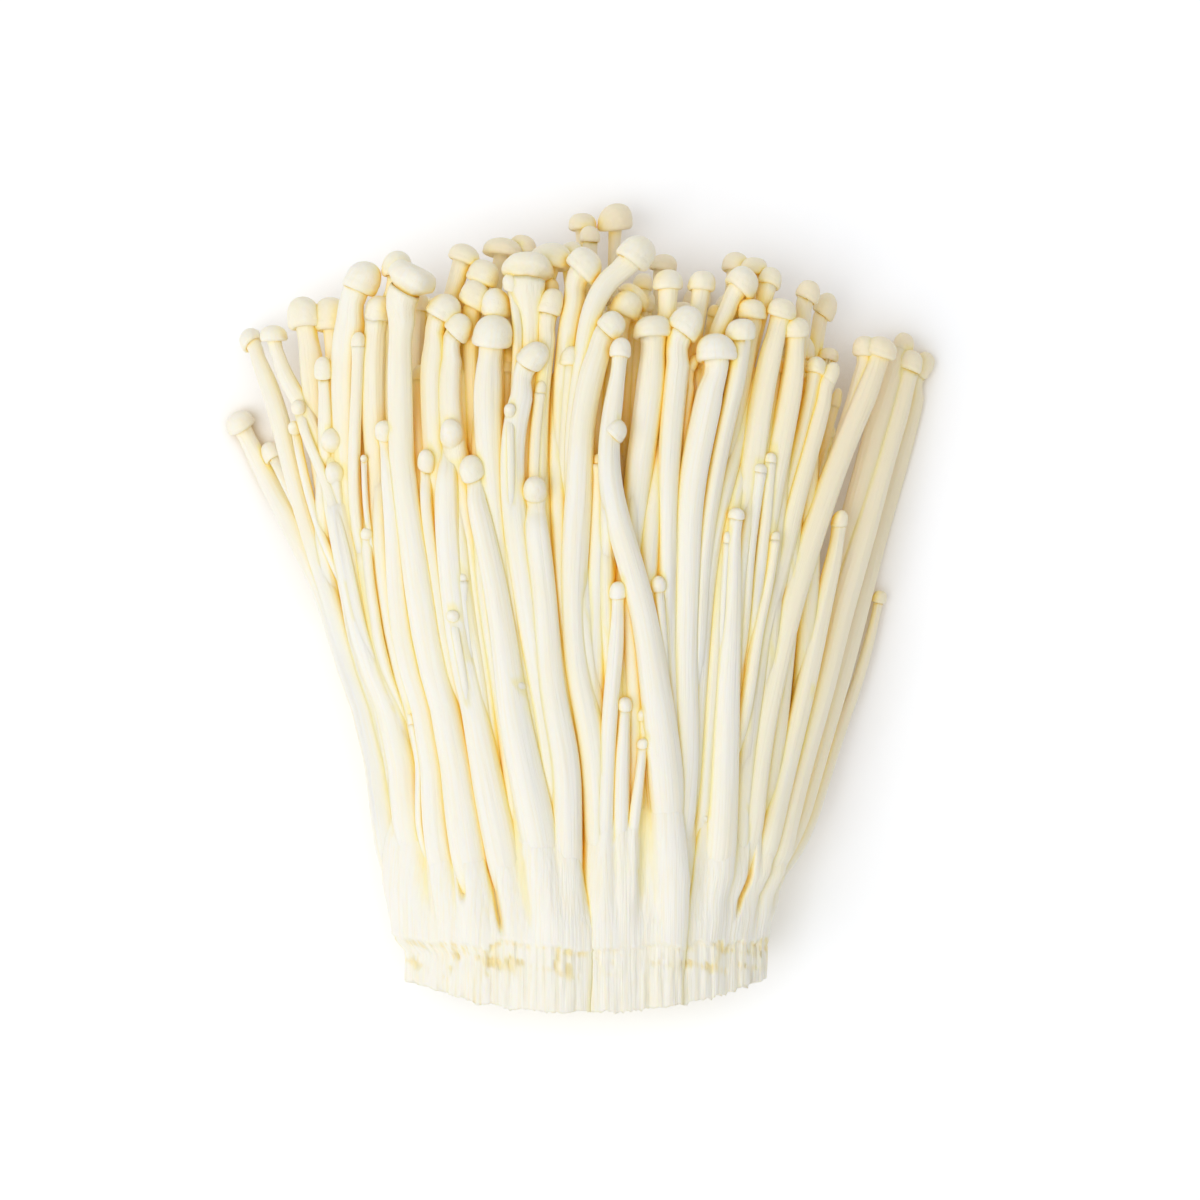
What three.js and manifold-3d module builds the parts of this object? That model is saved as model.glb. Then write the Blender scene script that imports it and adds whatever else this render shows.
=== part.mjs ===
// An enoki mushroom bunch, cut from its growing block and lying on its side.
// Millimetres. +Z is up from the surface, +Y runs from the cut root end to the caps,
// +X runs across the fan of stems. The origin is on the surface, under the middle of the bunch.
//
// The bunch has parted into three tufts. Each tuft is one body that grew together: its share of
// the fused root block, the long stems rising from it and a small cap on every stem.
import * as THREE from "three";
import { mergeVertices } from "three/addons/utils/BufferGeometryUtils.js";
import Module from "manifold-3d";

// ---- Driving dimensions ----
const ROOT_MIDDLE_X = 0.7;
const CUT_END_Y = -62.5;           // where the knife went through the roots
const LEDGE_Y = -52.5;             // the fused stems end in a ledge here
const BLOCK_SIDES = 26;
const RAGGED = 0.7;                // the cut end is uneven by this much
// The fused root block, and the dense heart that it runs on into between the stems, as oval
// rings: y, half width, half thickness, height of the middle.
const BLOCK_RINGS = [
  [CUT_END_Y, 0, 0, 16.4],
  [CUT_END_Y, 28.1, 16.6, 16.4],
  [LEDGE_Y, 28.4, 16.7, 16.4],
  [LEDGE_Y + 0.5, 29.2, 17.4, 16.4],
  [LEDGE_Y + 2.5, 29.1, 17.1, 16.4],
  [LEDGE_Y + 7, 28.2, 15.4, 16],
  [-26, 30, 12.4, 15],
  [2, 32.5, 8.6, 13],
  [18, 30, 6, 12],
  [18, 0, 0, 12],
];

const FAN_FOOT_Y = -60;            // the fan of stems opens from here
const FAN_LENGTH = 125;            // to the furthest caps
const CROWN_AT_ROOT = 33.5;        // height of the top stems over the roots
const CROWN_DROP = 5;              // they sink this much towards the caps
const SHOULDER_AT_ROOT = 16;       // height of the outermost stems at the roots
const FAN_HALF_WIDTH = [30.5, 59.5];  // at the foot and at the full length
const SPLAY_FROM = { x: 2.9, y: 1.6, z: 20 };
const SPLAY_PER_MM = 0.0021;       // lower mushrooms splay further out, higher ones less

const PARTING_GAP = 0.4;           // clear space between two tufts
const TABLE_SIZE = 200;
const ORIGIN_SHIFT = { x: 0.2, y: -2.0 };

const FEW_SIDES = 5;
const SHOWN_SIDES = 6;             // for the larger mushrooms near the top of the bunch
const SMALL_CAP = 4;
const DEEP = 6;                    // mushrooms this far under the crown root in the heart
const HEART_ROOT_Y = 8;
const STATION_STEP = 36;           // along a stem, from one ring of corners to the next
const FACET_SWELL = 1.06;          // a few-sided ring is widened to keep the round one's area
// A cap's outline from its top down: rise over its middle as a share of the cap's height, and
// radius as a share of its half width.
const CAP_PROFILE = [[0.55, 0], [0.3, 0.76], [-0.08, 1], [-0.4, 0.8]];
const NECK_SHARE = 0.5;            // the stem starts this far under the cap's middle

const UNDERSIDE_HEIGHT = 2.4;      // the lowest stems lie along the surface
const INNER_LEVELS = [0, 0.36, 0.72];  // share of the way up from the underside to the cover
const LAYER_SPACING = 5.4;         // from one inner stem to the next across a tuft
const COVER = 6.5;                 // inner stems stay this far under the top ones
const INNER_MARGIN = 2.2;          // and this far inside the tuft's borders
const INNER_STEM = [2.9, 3.3];
const INNER_CAP = [5, 4];
const LONG_ROOTS = [12, -16, -44];   // the y of the bends of a stem seen from below or beside
const SHORT_ROOTS = [12];            // and of one that rises out of the heart
const INNER_TIP_Y = 55;
const INNER_TIP_SPREAD = 9;        // the inner caps end up to this much earlier
const INNER_TIP_FALL = 13;         // and this much earlier again at the fan's sides
const INNER_FAN = { y: 40, halfWidth: 38 };
const INNER_JITTER = 0.4;          // a stem's place varies by this share of the spacing
const INNER_SIZES = [0.9, 1.15];   // and its cap's size by these factors
const NECK_BEND = 10;              // an inner stem is straight for this long under its cap
const SEED = 20417;

// ---- The tufts' borders, as [y, x] from the cut end to the caps ----
const PARTING_LEFT = [
  [-66, 1.0], [-57, 1.5], [-50, 1.8], [-45, 1.2], [-38, -0.3], [-30, -0.2], [-22, 0.1],
  [-14, -1.8], [-6, -3.2], [0, -3.8], [11, -4.7], [26, -5.1], [40, -4.6], [46, -3.6],
  [49, -2.6], [51, -2.6], [53, -3.3], [55, -4.2], [72, -4.2],
];
const PARTING_RIGHT = [
  [-66, 15.8], [-58, 16.0], [-48, 17.0], [-40, 17.6], [-32, 18.8], [-19, 19.4], [-6, 19.9],
  [4, 20.9], [14, 22.2], [23, 25.4], [33, 27.4], [43, 29.4], [47, 29.7], [50, 32.2], [72, 36.0],
];
const INNER_LEFT_EDGE = [[-55, -27.5], [-30, -32.5], [-5, -37.5], [15, -39.8], [60, -38.6]];
const INNER_RIGHT_EDGE = [[-55, 28.5], [-30, 34], [-5, 38], [15, 37.6], [60, 38]];

// ---- The mushrooms that show, one line each ----
// depth under the crown; stem width at the cap and at the root; cap width and height;
// the cap's turn clockwise and lift upwards in degrees; then x, y from the cap to the root.
const LEFT_MUSHROOMS = [
  [0, 2.6, 3.4, 5.2, 3.8, 0, 10,
    [-55, 30.2, -50.1, 20.8, -46.2, 13.9, -40.3, 0.8, -35.5, -17, -28.2, -51]],
  [2, 1.8, 2.4, 3.4, 3.5, 0, 20, [-49.8, 25.3, -46.7, 19.2, -42.2, 9.6, -37.1, -8, -31.5, -32]],
  [0, 2.4, 3.2, 3.9, 4, -10, 0,
    [-53.3, 43.5, -49.4, 34.2, -47.2, 25.4, -43.7, 13.1, -37.9, -6.4, -28.3, -51]],
  [1.5, 2.1, 3, 4.3, 3.2, 5, 5,
    [-49.4, 44.3, -48.3, 38.2, -43.4, 31, -40, 17.6, -37.9, 6.4, -34.7, -11.2, -27.5, -50]],
  [-0.5, 1.8, 2.2, 2.5, 2.3, 0, 45, [-45.4, 32.6, -44.5, 28, -41.2, 21.8, -37.5, 8, -35, -4]],
  [0, 1.4, 1.8, 2.2, 2.4, 0, 60, [-46, 29.3, -45, 24, -42.5, 14]],
  [3, 3, 3.6, 5.8, 5.4, 0, 5,
    [-44.5, 47.5, -43.2, 39.2, -42.2, 30, -40.3, 17.6, -38.4, 4.8, -35.2, -12.8, -27, -50]],
  [6, 3, 3.4, 5, 5, 0, 0, [-40.2, 47, -39.6, 38, -38.4, 22, -35.5, 1.6, -29, -38]],
  [2, 3.8, 4.4, 6.2, 5.4, 10, 0,
    [-35, 53.3, -37, 46.7, -37.7, 38, -36.8, 17.6, -33.1, -8, -29.9, -24, -25.3, -50]],
  [0.5, 1.9, 2.2, 2.3, 2.6, 0, 0, [-35.8, 43.2, -36, 36, -36.5, 24, -36, 12]],
  [1, 1.9, 3.2, 3.2, 3.6, 0, 10,
    [-41.3, 38.8, -40.8, 30, -41.4, 11, -39.5, 0.3, -33.1, -30.4, -29, -50]],
  [0.5, 2.8, 3, 4.2, 3.4, 0, 60, [-39.9, 27.4, -39.5, 22, -37.8, 10, -35.5, -6]],
  [0, 3.2, 3.8, 3.8, 3.6, 0, 35,
    [-39.3, 22, -39.4, 18, -37.8, 10.6, -35.7, 0.3, -29.4, -27.2, -25.4, -51]],
  [2, 3.4, 2.8, 4.2, 4, 0, 10, [-32.5, 48.3, -33.5, 41, -32.8, 24, -31.3, 0, -27.8, -30.4, -24.8, -51]],
  [0, 3, 4.8, 6.4, 5.2, 35, 5,
    [-26.6, 53.2, -28.4, 50, -29.1, 44, -29, 33.6,
     -28.4, 20, -25.9, 5.4, -23.4, -11.8, -18.2, -37.4, -16.3, -51]],
  [4, 2.8, 3, 5, 4.2, -10, 0, [-29.6, 55.4, -31, 48, -31.4, 38, -30.5, 20, -28, -5, -24, -28]],
  [8, 2.6, 3, 3.4, 3.2, 0, 0, [-26, 49.2, -26.4, 38, -25.5, 18, -22, -12]],
  [10, 2.6, 3, 3.4, 3.2, 0, 0, [-26, 46, -26, 34, -24.5, 10, -20, -20]],
  [0, 2.2, 3.5, 3.4, 3.5, 0, 45,
    [-31.5, 28.8, -31, 24.6, -30.1, 15.7, -29.1, 1.6, -25.3, -24, -20.8, -51]],
  [0.5, 1.8, 2.4, 3, 3.5, 0, 30, [-24.8, 24, -25.3, 19.2, -24.5, 13.1, -23, 4, -21.2, -9]],
  [2, 3.2, 3.6, 5.6, 4.4, 15, 5,
    [-21.8, 48.4, -23.6, 43, -24, 37, -22, 10, -20.8, -4.8, -17.1, -33.6, -14.5, -51]],
  [1.5, 3, 3.4, 4.6, 3.8, 20, 5, [-19.4, 45.4, -21.3, 40, -21.3, 34, -18, 10, -16.3, -4.8, -12.8, -44]],
  [0, 2.7, 4.2, 4, 4.6, 0, 50,
    [-20.8, 28.4, -21.4, 22.5, -21.5, 13, -20.2, 0.3, -16.2, -22.4, -13.6, -33.6, -10.4, -51]],
  [0.3, 1.6, 2.4, 1.6, 1.6, 0, 0, [-19, 5.3, -18.6, -2, -17.6, -14]],
  [7, 2.7, 3, 5.2, 3.2, 0, 0, [-18.8, 57, -20.5, 52, -22, 44, -22.3, 30, -21, 5, -17, -25]],
  [14, 2.6, 2.8, 4.6, 3.2, 0, 0, [-13.6, 58.2, -14.5, 50, -15.5, 35, -12, -25]],
  [15, 2.6, 2.8, 4.6, 3.2, 0, 0, [-9.9, 58.4, -10.8, 48, -11, 30, -7, -28]],
  [6, 2.8, 3, 5.6, 4, 0, 0, [-15.6, 54, -17.2, 49, -18.4, 40, -18.2, 25, -13, -30]],
  [4.5, 2.6, 3, 5.2, 4.6, 10, 5, [-16.8, 50.4, -17.8, 44, -17.6, 34, -14.5, -8, -11.5, -35]],
  [3.5, 2.8, 3.2, 5.2, 4.6, 0, 10, [-13.7, 49.2, -13.9, 42, -13.2, 25, -9.4, -22]],
  [0.5, 3.5, 3.6, 6.4, 5.2, 0, 5,
    [-14.2, 44.6, -14.9, 40, -14.9, 28.8, -11.8, -1.6, -7.8, -18.6, -3.6, -38.4, -1.6, -51]],
  [5, 1.8, 2.2, 2.4, 2.7, 0, 0, [-11.8, 40.6, -12.2, 32, -11.4, 14]],
  [2.5, 1.6, 2, 3.2, 2.6, 0, 30, [-11.2, 52.5, -10.2, 48, -10.3, 40, -10.8, 28]],
  [3, 2.4, 3, 8.4, 5, 0, 10, [-8.6, 54.6, -8.4, 48, -8.4, 40, -9.2, 25, -7.8, 2, -3.6, -44]],
  [8, 2.8, 3, 4.6, 4, 0, 0, [-6.9, 57, -7, 50, -7.4, 35, -6.9, 12, -4.6, -14]],
  [6, 2.4, 2.8, 3, 2.6, 0, 0, [-5.1, 51.9, -5.5, 46, -6.6, 36, -6.4, 15]],
  [2.5, 2.6, 3, 4, 4.4, 10, 5, [-4.9, 49.3, -5.4, 44, -6.2, 38, -6.9, 25, -6.5, 8, -5.4, -6]],
  [0, 3, 3.2, 4.6, 4.6, 20, 10,
    [-7.5, 40.8, -9, 36.5, -10.9, 30, -11.2, 21, -8.5, 0.3, -5.1, -22.4, -2.4, -46]],
  [-0.6, 1.2, 1.4, 2, 2, 0, 60, [-11.5, 32, -11.4, 27, -11.3, 20]],
  [2, 1.8, 2.2, 1.9, 2.4, 0, 0, [-6.6, 35.6, -7.1, 32, -7.7, 24, -7.6, 10]],
  [-0.8, 2.7, 4.6, 4.2, 3.6, -10, 25,
    [-17.8, 22.8, -17.3, 18.5, -15.4, 11.8, -13.6, 2.9, -11.2, -14.4, -7, -35.2, -4.4, -51]],
  [-0.8, 3, 3.4, 3.9, 4, 0, 45,
    [-7.5, 19.5, -7.7, 15.5, -6.4, 5.4, -4.6, -14.4, -2.6, -24, -2.4, -38, -1.4, -51]],
  [0.3, 1.8, 2, 2.1, 1.9, 0, 30, [-34.4, 12.3, -34.5, 8, -33.1, 0.3, -31.5, -11]],
  [0.5, 1.2, 1.4, 1.7, 1.9, 0, 30, [-34.4, -24.5, -33.6, -29, -32, -38]],
  [-0.5, 2, 2.6, 2.6, 2.3, 0, 30, [-10.1, -12.3, -9.8, -16, -6.6, -33]],
];
const MIDDLE_MUSHROOMS = [
  [3, 3.2, 3.4, 6.2, 4.5, 15, 5,
    [0.8, 55.4, -0.9, 51.8, -1.9, 46.7, -3, 35, -3.2, 20, -2.6, 8, 0.8, -15]],
  [9, 2.8, 3, 4.2, 4, 0, 0, [-1.8, 57, -1, 50, -1.6, 44, -2, 30, 2, -15]],
  [2.5, 2.9, 3.2, 4, 3.5, 0, 5, [-1.7, 40.5, -2.1, 36, -2.5, 24, -2.2, 8, 0.6, -12, 2, -30]],
  [20, 2, 3, 5.9, 4.6, 0, 10, [5.4, 62.9, 5.1, 58, 5, 45, 5, 10, 6, -30]],
  [20, 2, 3, 4.8, 3, 0, 0, [0, 62.1, 0.2, 57, 0.5, 40, 1, 0, 3, -30]],
  [17, 2.2, 2.8, 3.4, 2.8, 0, 0, [1.3, 60.2, 1.2, 55, 1.6, 35, 3, -20]],
  [1.5, 3.2, 3.4, 6, 5, -10, 0,
    [9, 57.4, 6.8, 55.6, 3.6, 52.8, 1.4, 48.5, 0.5, 42, -0.6, 33, -1, 20, 0.5, 0]],
  [0, 3.2, 3.2, 4.6, 3.8, 10, 10,
    [5, 45.8, 3, 43.5, 1.4, 37.5, -0.2, 29, -0.5, 20, -1.3, 8, -0.9, -8, 1.8, -22, 3, -50]],
  [4, 2.8, 3, 5.2, 4.4, 10, 5, [7.2, 48.8, 5.9, 43, 4.8, 33, 4.6, 10, 5, -20]],
  [7, 2.4, 2.8, 6, 2.6, 30, 0, [8.6, 50.3, 7.6, 44, 6.8, 30, 6.5, 0]],
  [10, 2.4, 2.8, 3.4, 3, 0, 0, [9.8, 52.4, 9.4, 45, 9, 25, 8.6, -10]],
  [16, 2.4, 2.8, 4.6, 3, 10, 0, [13.2, 55.6, 12.4, 48, 11.5, 25, 10, -20]],
  [4, 2.7, 3.2, 4.7, 3.4, 0, 0, [13.8, 52.8, 13.6, 47, 13.2, 38, 12, 15, 11, -15]],
  [7, 2, 2.4, 3, 2.4, 0, 0, [9.1, 46, 8.4, 38, 8, 15]],
  [-1, 2.1, 4.2, 3.4, 3.3, 0, 0,
    [6.2, 41.9, 6, 38, 4.6, 31, 4.3, 20, 6.7, 10.6, 9.9, 0, 11.6, -12, 13.4, -27, 14.6, -44]],
  [-1, 2.4, 2.8, 3.9, 3, 25, 0, [5.6, 29, 4.4, 25.5, 4.4, 19]],
  [1, 3, 2.6, 2.6, 2, 0, 0, [3, 24, 2.9, 14, 2.1, -2.2, 2.1, -17, 1.9, -34.9, 2.8, -48]],
  [1.5, 3.4, 3.6, 6.4, 3.7, 0, 0,
    [11.4, 45.2, 11.3, 40, 10.4, 31, 8.8, 20.8, 7.6, 5, 7.4, -20, 8.5, -46]],
  [0.5, 3.7, 3, 5.6, 5, 15, 5,
    [17, 46.1, 15.4, 41.5, 14.8, 34, 13.9, 23.4, 13.6, 8, 14.3, -10, 15, -38]],
  [3, 1.3, 1.8, 1.7, 2.7, 20, 0, [17.9, 39.6, 17, 34, 16, 20]],
  [5, 2.7, 3, 4.5, 3.3, 0, 5, [19.2, 52.6, 18.6, 48, 17.2, 40, 15.5, 20, 14.6, -5]],
  [0, 3.5, 3.4, 6.8, 4.6, -10, 5,
    [21.4, 41.9, 21.3, 38, 19.6, 31, 17.7, 21, 16.8, 8, 16.4, -6, 16.3, -24, 14.6, -46]],
  [0.5, 3, 3, 5.1, 3.6, 0, 5,
    [25.5, 44.8, 25.5, 40, 23.2, 31, 21.7, 23.4, 20.2, 14, 19.1, 4, 18.4, -10]],
  [4, 2.9, 3.2, 5.6, 4.3, 5, 5, [25.9, 52.7, 24.2, 50, 22, 45.5, 20, 38, 17.8, 25, 16.4, 5, 15.8, -20]],
  [8, 1.9, 2.4, 2.6, 2.2, 0, 0, [21.4, 47.8, 20, 42, 18, 30, 16, 8]],
  [6, 2.6, 3, 4, 3.2, 0, 0, [30.2, 53.2, 28.6, 48, 26.4, 39, 23.4, 27, 19.6, 8, 17.4, -15]],
  [3.5, 2.6, 3, 4.6, 3.4, -10, 5, [27.3, 48.1, 27, 43, 25.7, 36.5, 23.6, 25, 20.8, 12, 18.4, -5]],
  [-0.5, 1.8, 2.2, 2.8, 2.7, 0, 20, [5.8, 3.2, 5.9, 0, 5.1, -9.3, 4.2, -21, 3.7, -35, 4, -49]],
  [0, 1.8, 2.2, 2.6, 2.3, 0, 30, [12.2, 4.3, 12.5, 0.5, 13.2, -9]],
  [-0.5, 1.8, 2.2, 2.4, 2, 0, 25, [6.9, -15, 6.9, -18.2, 6.3, -26, 6.4, -48]],
  [0.2, 1.7, 2.2, 2.2, 1.8, 0, 30, [9.8, -16.6, 10.2, -20, 11.4, -28, 13, -46]],
  [-0.7, 1.4, 1.7, 1.9, 1.6, 0, 30, [9.8, -21.3, 9.6, -24.6, 8.4, -32, 8, -44]],
];
const RIGHT_MUSHROOMS = [
  [2, 3, 3.6, 4.9, 3.2, 0, 5,
    [32.2, 48.2, 31.2, 44.5, 29.6, 38.5, 28.2, 30, 27, 21, 25, 6, 23.8, -15, 21.8, -49]],
  [1.5, 2.9, 3.4, 4.6, 3.2, 0, 10,
    [34.2, 45.2, 34.3, 41, 33.4, 34, 31.4, 25, 28.6, 8, 26.4, -14, 24.6, -50]],
  [6, 2.4, 3, 4.1, 3.5, 10, 0, [36.4, 51.1, 35.6, 47.5, 34.6, 40, 33, 28, 28.5, -2, 26, -30]],
  [12, 1.8, 2.6, 2.9, 3.8, 10, 0, [39.4, 49.2, 37.8, 44.5, 36.6, 38, 34, 20, 28, -20]],
  [2.5, 2.4, 3, 3.8, 3, 0, 0, [37.6, 39, 36.9, 34.5, 35.4, 28, 32.6, 18, 28.5, -4, 26, -28]],
  [1, 2.1, 3.2, 2.8, 3.5, 10, 0,
    [40, 38, 38.9, 34, 37, 27, 34.4, 18, 32, 7.5, 28.6, -4.3, 25.6, -30, 24.6, -50]],
  [8, 2, 2.6, 3.5, 2.2, 0, 0, [39.6, 40.9, 38.4, 36, 36, 26, 31, 5]],
  [8, 1.4, 2, 1.9, 3.4, 0, 0, [40.8, 34, 39.6, 29, 37, 20]],
  [9, 1.3, 2, 1.8, 2, 0, 20, [39.8, 28.6, 38.6, 24, 35, 12]],
  [1, 1.9, 2.4, 2.4, 1.6, 0, 0, [28.6, 22.7, 28, 18.2, 26.8, 10.6, 25.6, -6]],
  [1, 1.9, 2.8, 2.1, 1.8, 0, 0, [30.2, 24.3, 29.9, 18.2, 28.4, 6, 27, -8]],
  [0, 2.1, 4.6, 2.8, 2, 0, 10,
    [24.7, 15.4, 24.1, 11.8, 24, 4, 23.5, -6, 22.6, -22, 22, -38, 20.8, -51]],
  [0.5, 1.5, 2, 1.7, 2, 0, 10, [23.4, 11.6, 23, 7, 22.4, -6]],
  [0, 1.6, 2.8, 1.6, 1.6, 0, 0, [31, 11.8, 30.2, 5, 28, -4, 26.6, -14]],
  [-0.5, 2.1, 2.8, 2.7, 2.9, 0, 15, [41.3, 14.6, 41, 11, 39, 2.8, 35.8, -12.2, 31.7, -28.8, 27.2, -49]],
  [3, 2.6, 3, 3.9, 3.3, -10, 0, [45.5, 42.2, 45.2, 38.5, 42.5, 30, 38, 16, 34, 3, 28.5, -25]],
  [0, 3.1, 3.4, 4.9, 3, 0, 5,
    [48, 42.1, 47.2, 38.5, 44.6, 32.4, 41.2, 24.2,
     38.1, 15.7, 34.5, 5, 31.2, -8.8, 27.5, -28, 25.9, -50]],
  [1.5, 3.2, 3.4, 3.4, 3.3, 0, 10,
    [51.7, 42.8, 50.2, 39, 47.7, 31, 45.1, 20.8, 42.4, 10.6, 37.5, -6, 31, -30, 28.2, -47]],
  [0, 3, 3.4, 4.5, 3.4, 0, 5,
    [52.7, 39.9, 51.8, 36, 49, 25.8, 45, 11.8, 41.4, -1, 37, -17.8, 30.5, -42, 29, -50]],
  [2, 2.1, 2.6, 3.3, 3.8, 20, 0,
    [55.3, 39.6, 53.8, 35, 51.4, 25.8, 47.6, 12, 43, -3.5, 38, -21, 29.8, -49]],
  [1, 1.4, 2.4, 2.4, 2.1, 0, 10, [47.7, 2.1, 47.2, -0.5, 44.3, -11, 41, -20, 35.5, -36, 30, -50]],
  [3, 1.3, 2, 1.8, 2.2, 0, 0, [45.3, 1, 44.6, -3, 42, -12, 37, -26]],
];

// ---- Small helpers ----
const wasm = await Module();
wasm.setup();

// A small seeded generator of numbers from 0 to 1, the same on every run.
function makeRandom(seed) {
  let state = seed;
  return () => {
    state = (state * 16807) % 2147483647;
    return state / 2147483647;
  };
}

const mix = (a, b, t) => a + (b - a) * t;

// The x of a border line at a given y.
function borderAt(border, y) {
  const after = border.findIndex(([borderY]) => borderY >= y);
  if (after <= 0) {
    return border[after === 0 ? 0 : border.length - 1][1];
  }
  const [y0, x0] = border[after - 1];
  const [y1, x1] = border[after];
  return mix(x0, x1, (y - y0) / (y1 - y0));
}

// The bunch's rounded section at a place: the height of its top and of its underside,
// which meet at the shoulder on either side of the fan.
function sectionAt(x, y) {
  const along = THREE.MathUtils.clamp((y - FAN_FOOT_Y) / FAN_LENGTH, 0, 1);
  const shoulder = SHOULDER_AT_ROOT * (1 - along) ** 2;
  const middle = CROWN_AT_ROOT - CROWN_DROP * along;
  const across = x / mix(FAN_HALF_WIDTH[0], FAN_HALF_WIDTH[1], along);
  const arch = Math.sqrt(Math.max(0, 1 - across * across));
  return {
    crown: shoulder + (middle - shoulder) * arch,
    underside: UNDERSIDE_HEIGHT + Math.max(0, shoulder - UNDERSIDE_HEIGHT) * (1 - arch),
  };
}

// A place in the bunch, with the splay of its height.
function splayed(x, y, z) {
  const splay = 1 + SPLAY_PER_MM * (SPLAY_FROM.z - z);
  return new THREE.Vector3(
    SPLAY_FROM.x + (x - SPLAY_FROM.x) * splay,
    SPLAY_FROM.y + (y - SPLAY_FROM.y) * splay,
    z,
  );
}

// A closed three.js geometry as a solid: shared corners merged, flat slivers left out.
function toSolid(geometry) {
  const bare = geometry.clone();
  bare.deleteAttribute("normal");
  bare.deleteAttribute("uv");
  const merged = mergeVertices(bare, 1e-4);
  const corners = merged.index.array;
  const kept = [];
  for (let i = 0; i < corners.length; i += 3) {
    const [a, b, c] = [corners[i], corners[i + 1], corners[i + 2]];
    if (a !== b && b !== c && c !== a) {
      kept.push(a, b, c);
    }
  }
  const mesh = new wasm.Mesh({
    numProp: 3,
    vertProperties: new Float32Array(merged.attributes.position.array),
    triVerts: new Uint32Array(kept),
  });
  return new wasm.Manifold(mesh);
}

function toGeometry(solid) {
  const mesh = solid.getMesh();
  const geometry = new THREE.BufferGeometry();
  geometry.setAttribute("position", new THREE.BufferAttribute(mesh.vertProperties, 3));
  geometry.setIndex(new THREE.BufferAttribute(mesh.triVerts, 1));
  geometry.computeVertexNormals();
  return geometry;
}

// ---- One mushroom: a turned profile bent along its stem ----
// The stations run from the cap's top to the root, each with a place, an axis and a radius.
function mushroomStations(stem, cap, capTurn, capLift, points) {
  const curve = new THREE.CatmullRomCurve3(points, false, "centripetal");
  const [capWidth, capHeight] = cap;
  const length = curve.getLength();
  const capAxis = curve.getTangent(0).negate();
  capAxis.applyAxisAngle(new THREE.Vector3(0, 0, 1), -THREE.MathUtils.degToRad(capTurn));
  const sideways = new THREE.Vector3(capAxis.y, -capAxis.x, 0).normalize();
  capAxis.applyAxisAngle(sideways, THREE.MathUtils.degToRad(capLift));
  const onCap = (rise, radius) => ({
    place: points[0].clone().addScaledVector(capAxis, rise * capHeight),
    axis: capAxis,
    radius: radius * capWidth * 0.5 * FACET_SWELL,
  });
  const stations = CAP_PROFILE.map(([rise, radius]) => onCap(rise, radius));
  const neck = (NECK_SHARE * capHeight) / length;
  const steps = Math.max(2, Math.round(length / STATION_STEP));
  for (let i = 0; i <= steps; i += 1) {
    const along = mix(neck, 1, i / steps);
    stations.push({
      place: curve.getPointAt(along),
      axis: curve.getTangentAt(along).negate(),
      radius: mix(stem[0], stem[1], along) * 0.5 * FACET_SWELL,
    });
  }
  const root = stations[stations.length - 1];
  stations.push({ place: root.place, axis: root.axis, radius: 0 });
  return stations;
}

function mushroomSolid(sides, stem, cap, capTurn, capLift, points) {
  const stations = mushroomStations(stem, cap, capTurn, capLift, points);
  const profile = stations.map(({ radius }, i) => new THREE.Vector2(radius, -i));
  profile.reverse();
  const geometry = new THREE.LatheGeometry(profile, sides);
  const place = geometry.attributes.position;
  const up = new THREE.Vector3(0, 0, 1);
  for (let i = 0; i < place.count; i += 1) {
    const station = stations[Math.round(-place.getY(i))];
    const across = new THREE.Vector3().crossVectors(station.axis, up).normalize();
    const raised = new THREE.Vector3().crossVectors(across, station.axis);
    const corner = station.place.clone();
    corner.addScaledVector(across, place.getX(i));
    corner.addScaledVector(raised, place.getZ(i));
    place.setXYZ(i, corner.x, corner.y, corner.z);
  }
  return toSolid(geometry);
}

// A mushroom from its line in the lists above: it lies at its depth under the crown.
function shownMushroom([depth, stemTop, stemRoot, capWidth, capHeight, turn, lift, line]) {
  const points = [];
  for (let i = 0; i < line.length; i += 2) {
    const [x, y] = [line[i], line[i + 1]];
    const radius = (i === 0 ? capWidth : stemTop) / 2;
    const height = Math.max(sectionAt(x, y).crown - depth - stemTop / 2, radius - 0.2);
    if (depth < DEEP || y > HEART_ROOT_Y) {
      points.push(splayed(x, y, height));
    }
  }
  const sides = depth < DEEP && capWidth > SMALL_CAP ? SHOWN_SIDES : FEW_SIDES;
  return mushroomSolid(sides, [stemTop, stemRoot], [capWidth, capHeight], turn, lift, points);
}

// The stems inside a tuft, in layers from its underside up, between its two borders.
function innerMushrooms([leftBorder, rightBorder], isFlank, random) {
  const solids = [];
  const count = Math.round((borderAt(rightBorder, 0) - borderAt(leftBorder, 0)) / LAYER_SPACING);
  const middleX = (borderAt(leftBorder, INNER_FAN.y) + borderAt(rightBorder, INNER_FAN.y)) / 2;
  const lastTipY = INNER_TIP_Y - INNER_TIP_FALL * (middleX / INNER_FAN.halfWidth) ** 2;
  for (const level of INNER_LEVELS) {
    for (let i = 0; i < count; i += 1) {
      const share = (i + 0.5 + (random() - 0.5) * INNER_JITTER) / count;
      const tipY = lastTipY - INNER_TIP_SPREAD * random();
      const size = mix(INNER_SIZES[0], INNER_SIZES[1], random());
      const cap = INNER_CAP.map((dimension) => dimension * size);
      const placeAt = (y) => {
        const left = borderAt(leftBorder, y) + INNER_MARGIN;
        const x = mix(left, borderAt(rightBorder, y) - INNER_MARGIN, share);
        const { crown, underside } = sectionAt(x, y);
        const height = mix(underside, Math.max(crown - COVER, underside), level);
        return splayed(x, y, height);
      };
      const roots = level === 0 || isFlank(i, count) ? LONG_ROOTS : SHORT_ROOTS;
      const points = [tipY, tipY - NECK_BEND, ...roots].map(placeAt);
      solids.push(mushroomSolid(FEW_SIDES, INNER_STEM, cap, 0, 0, points));
    }
  }
  return solids;
}

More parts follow.
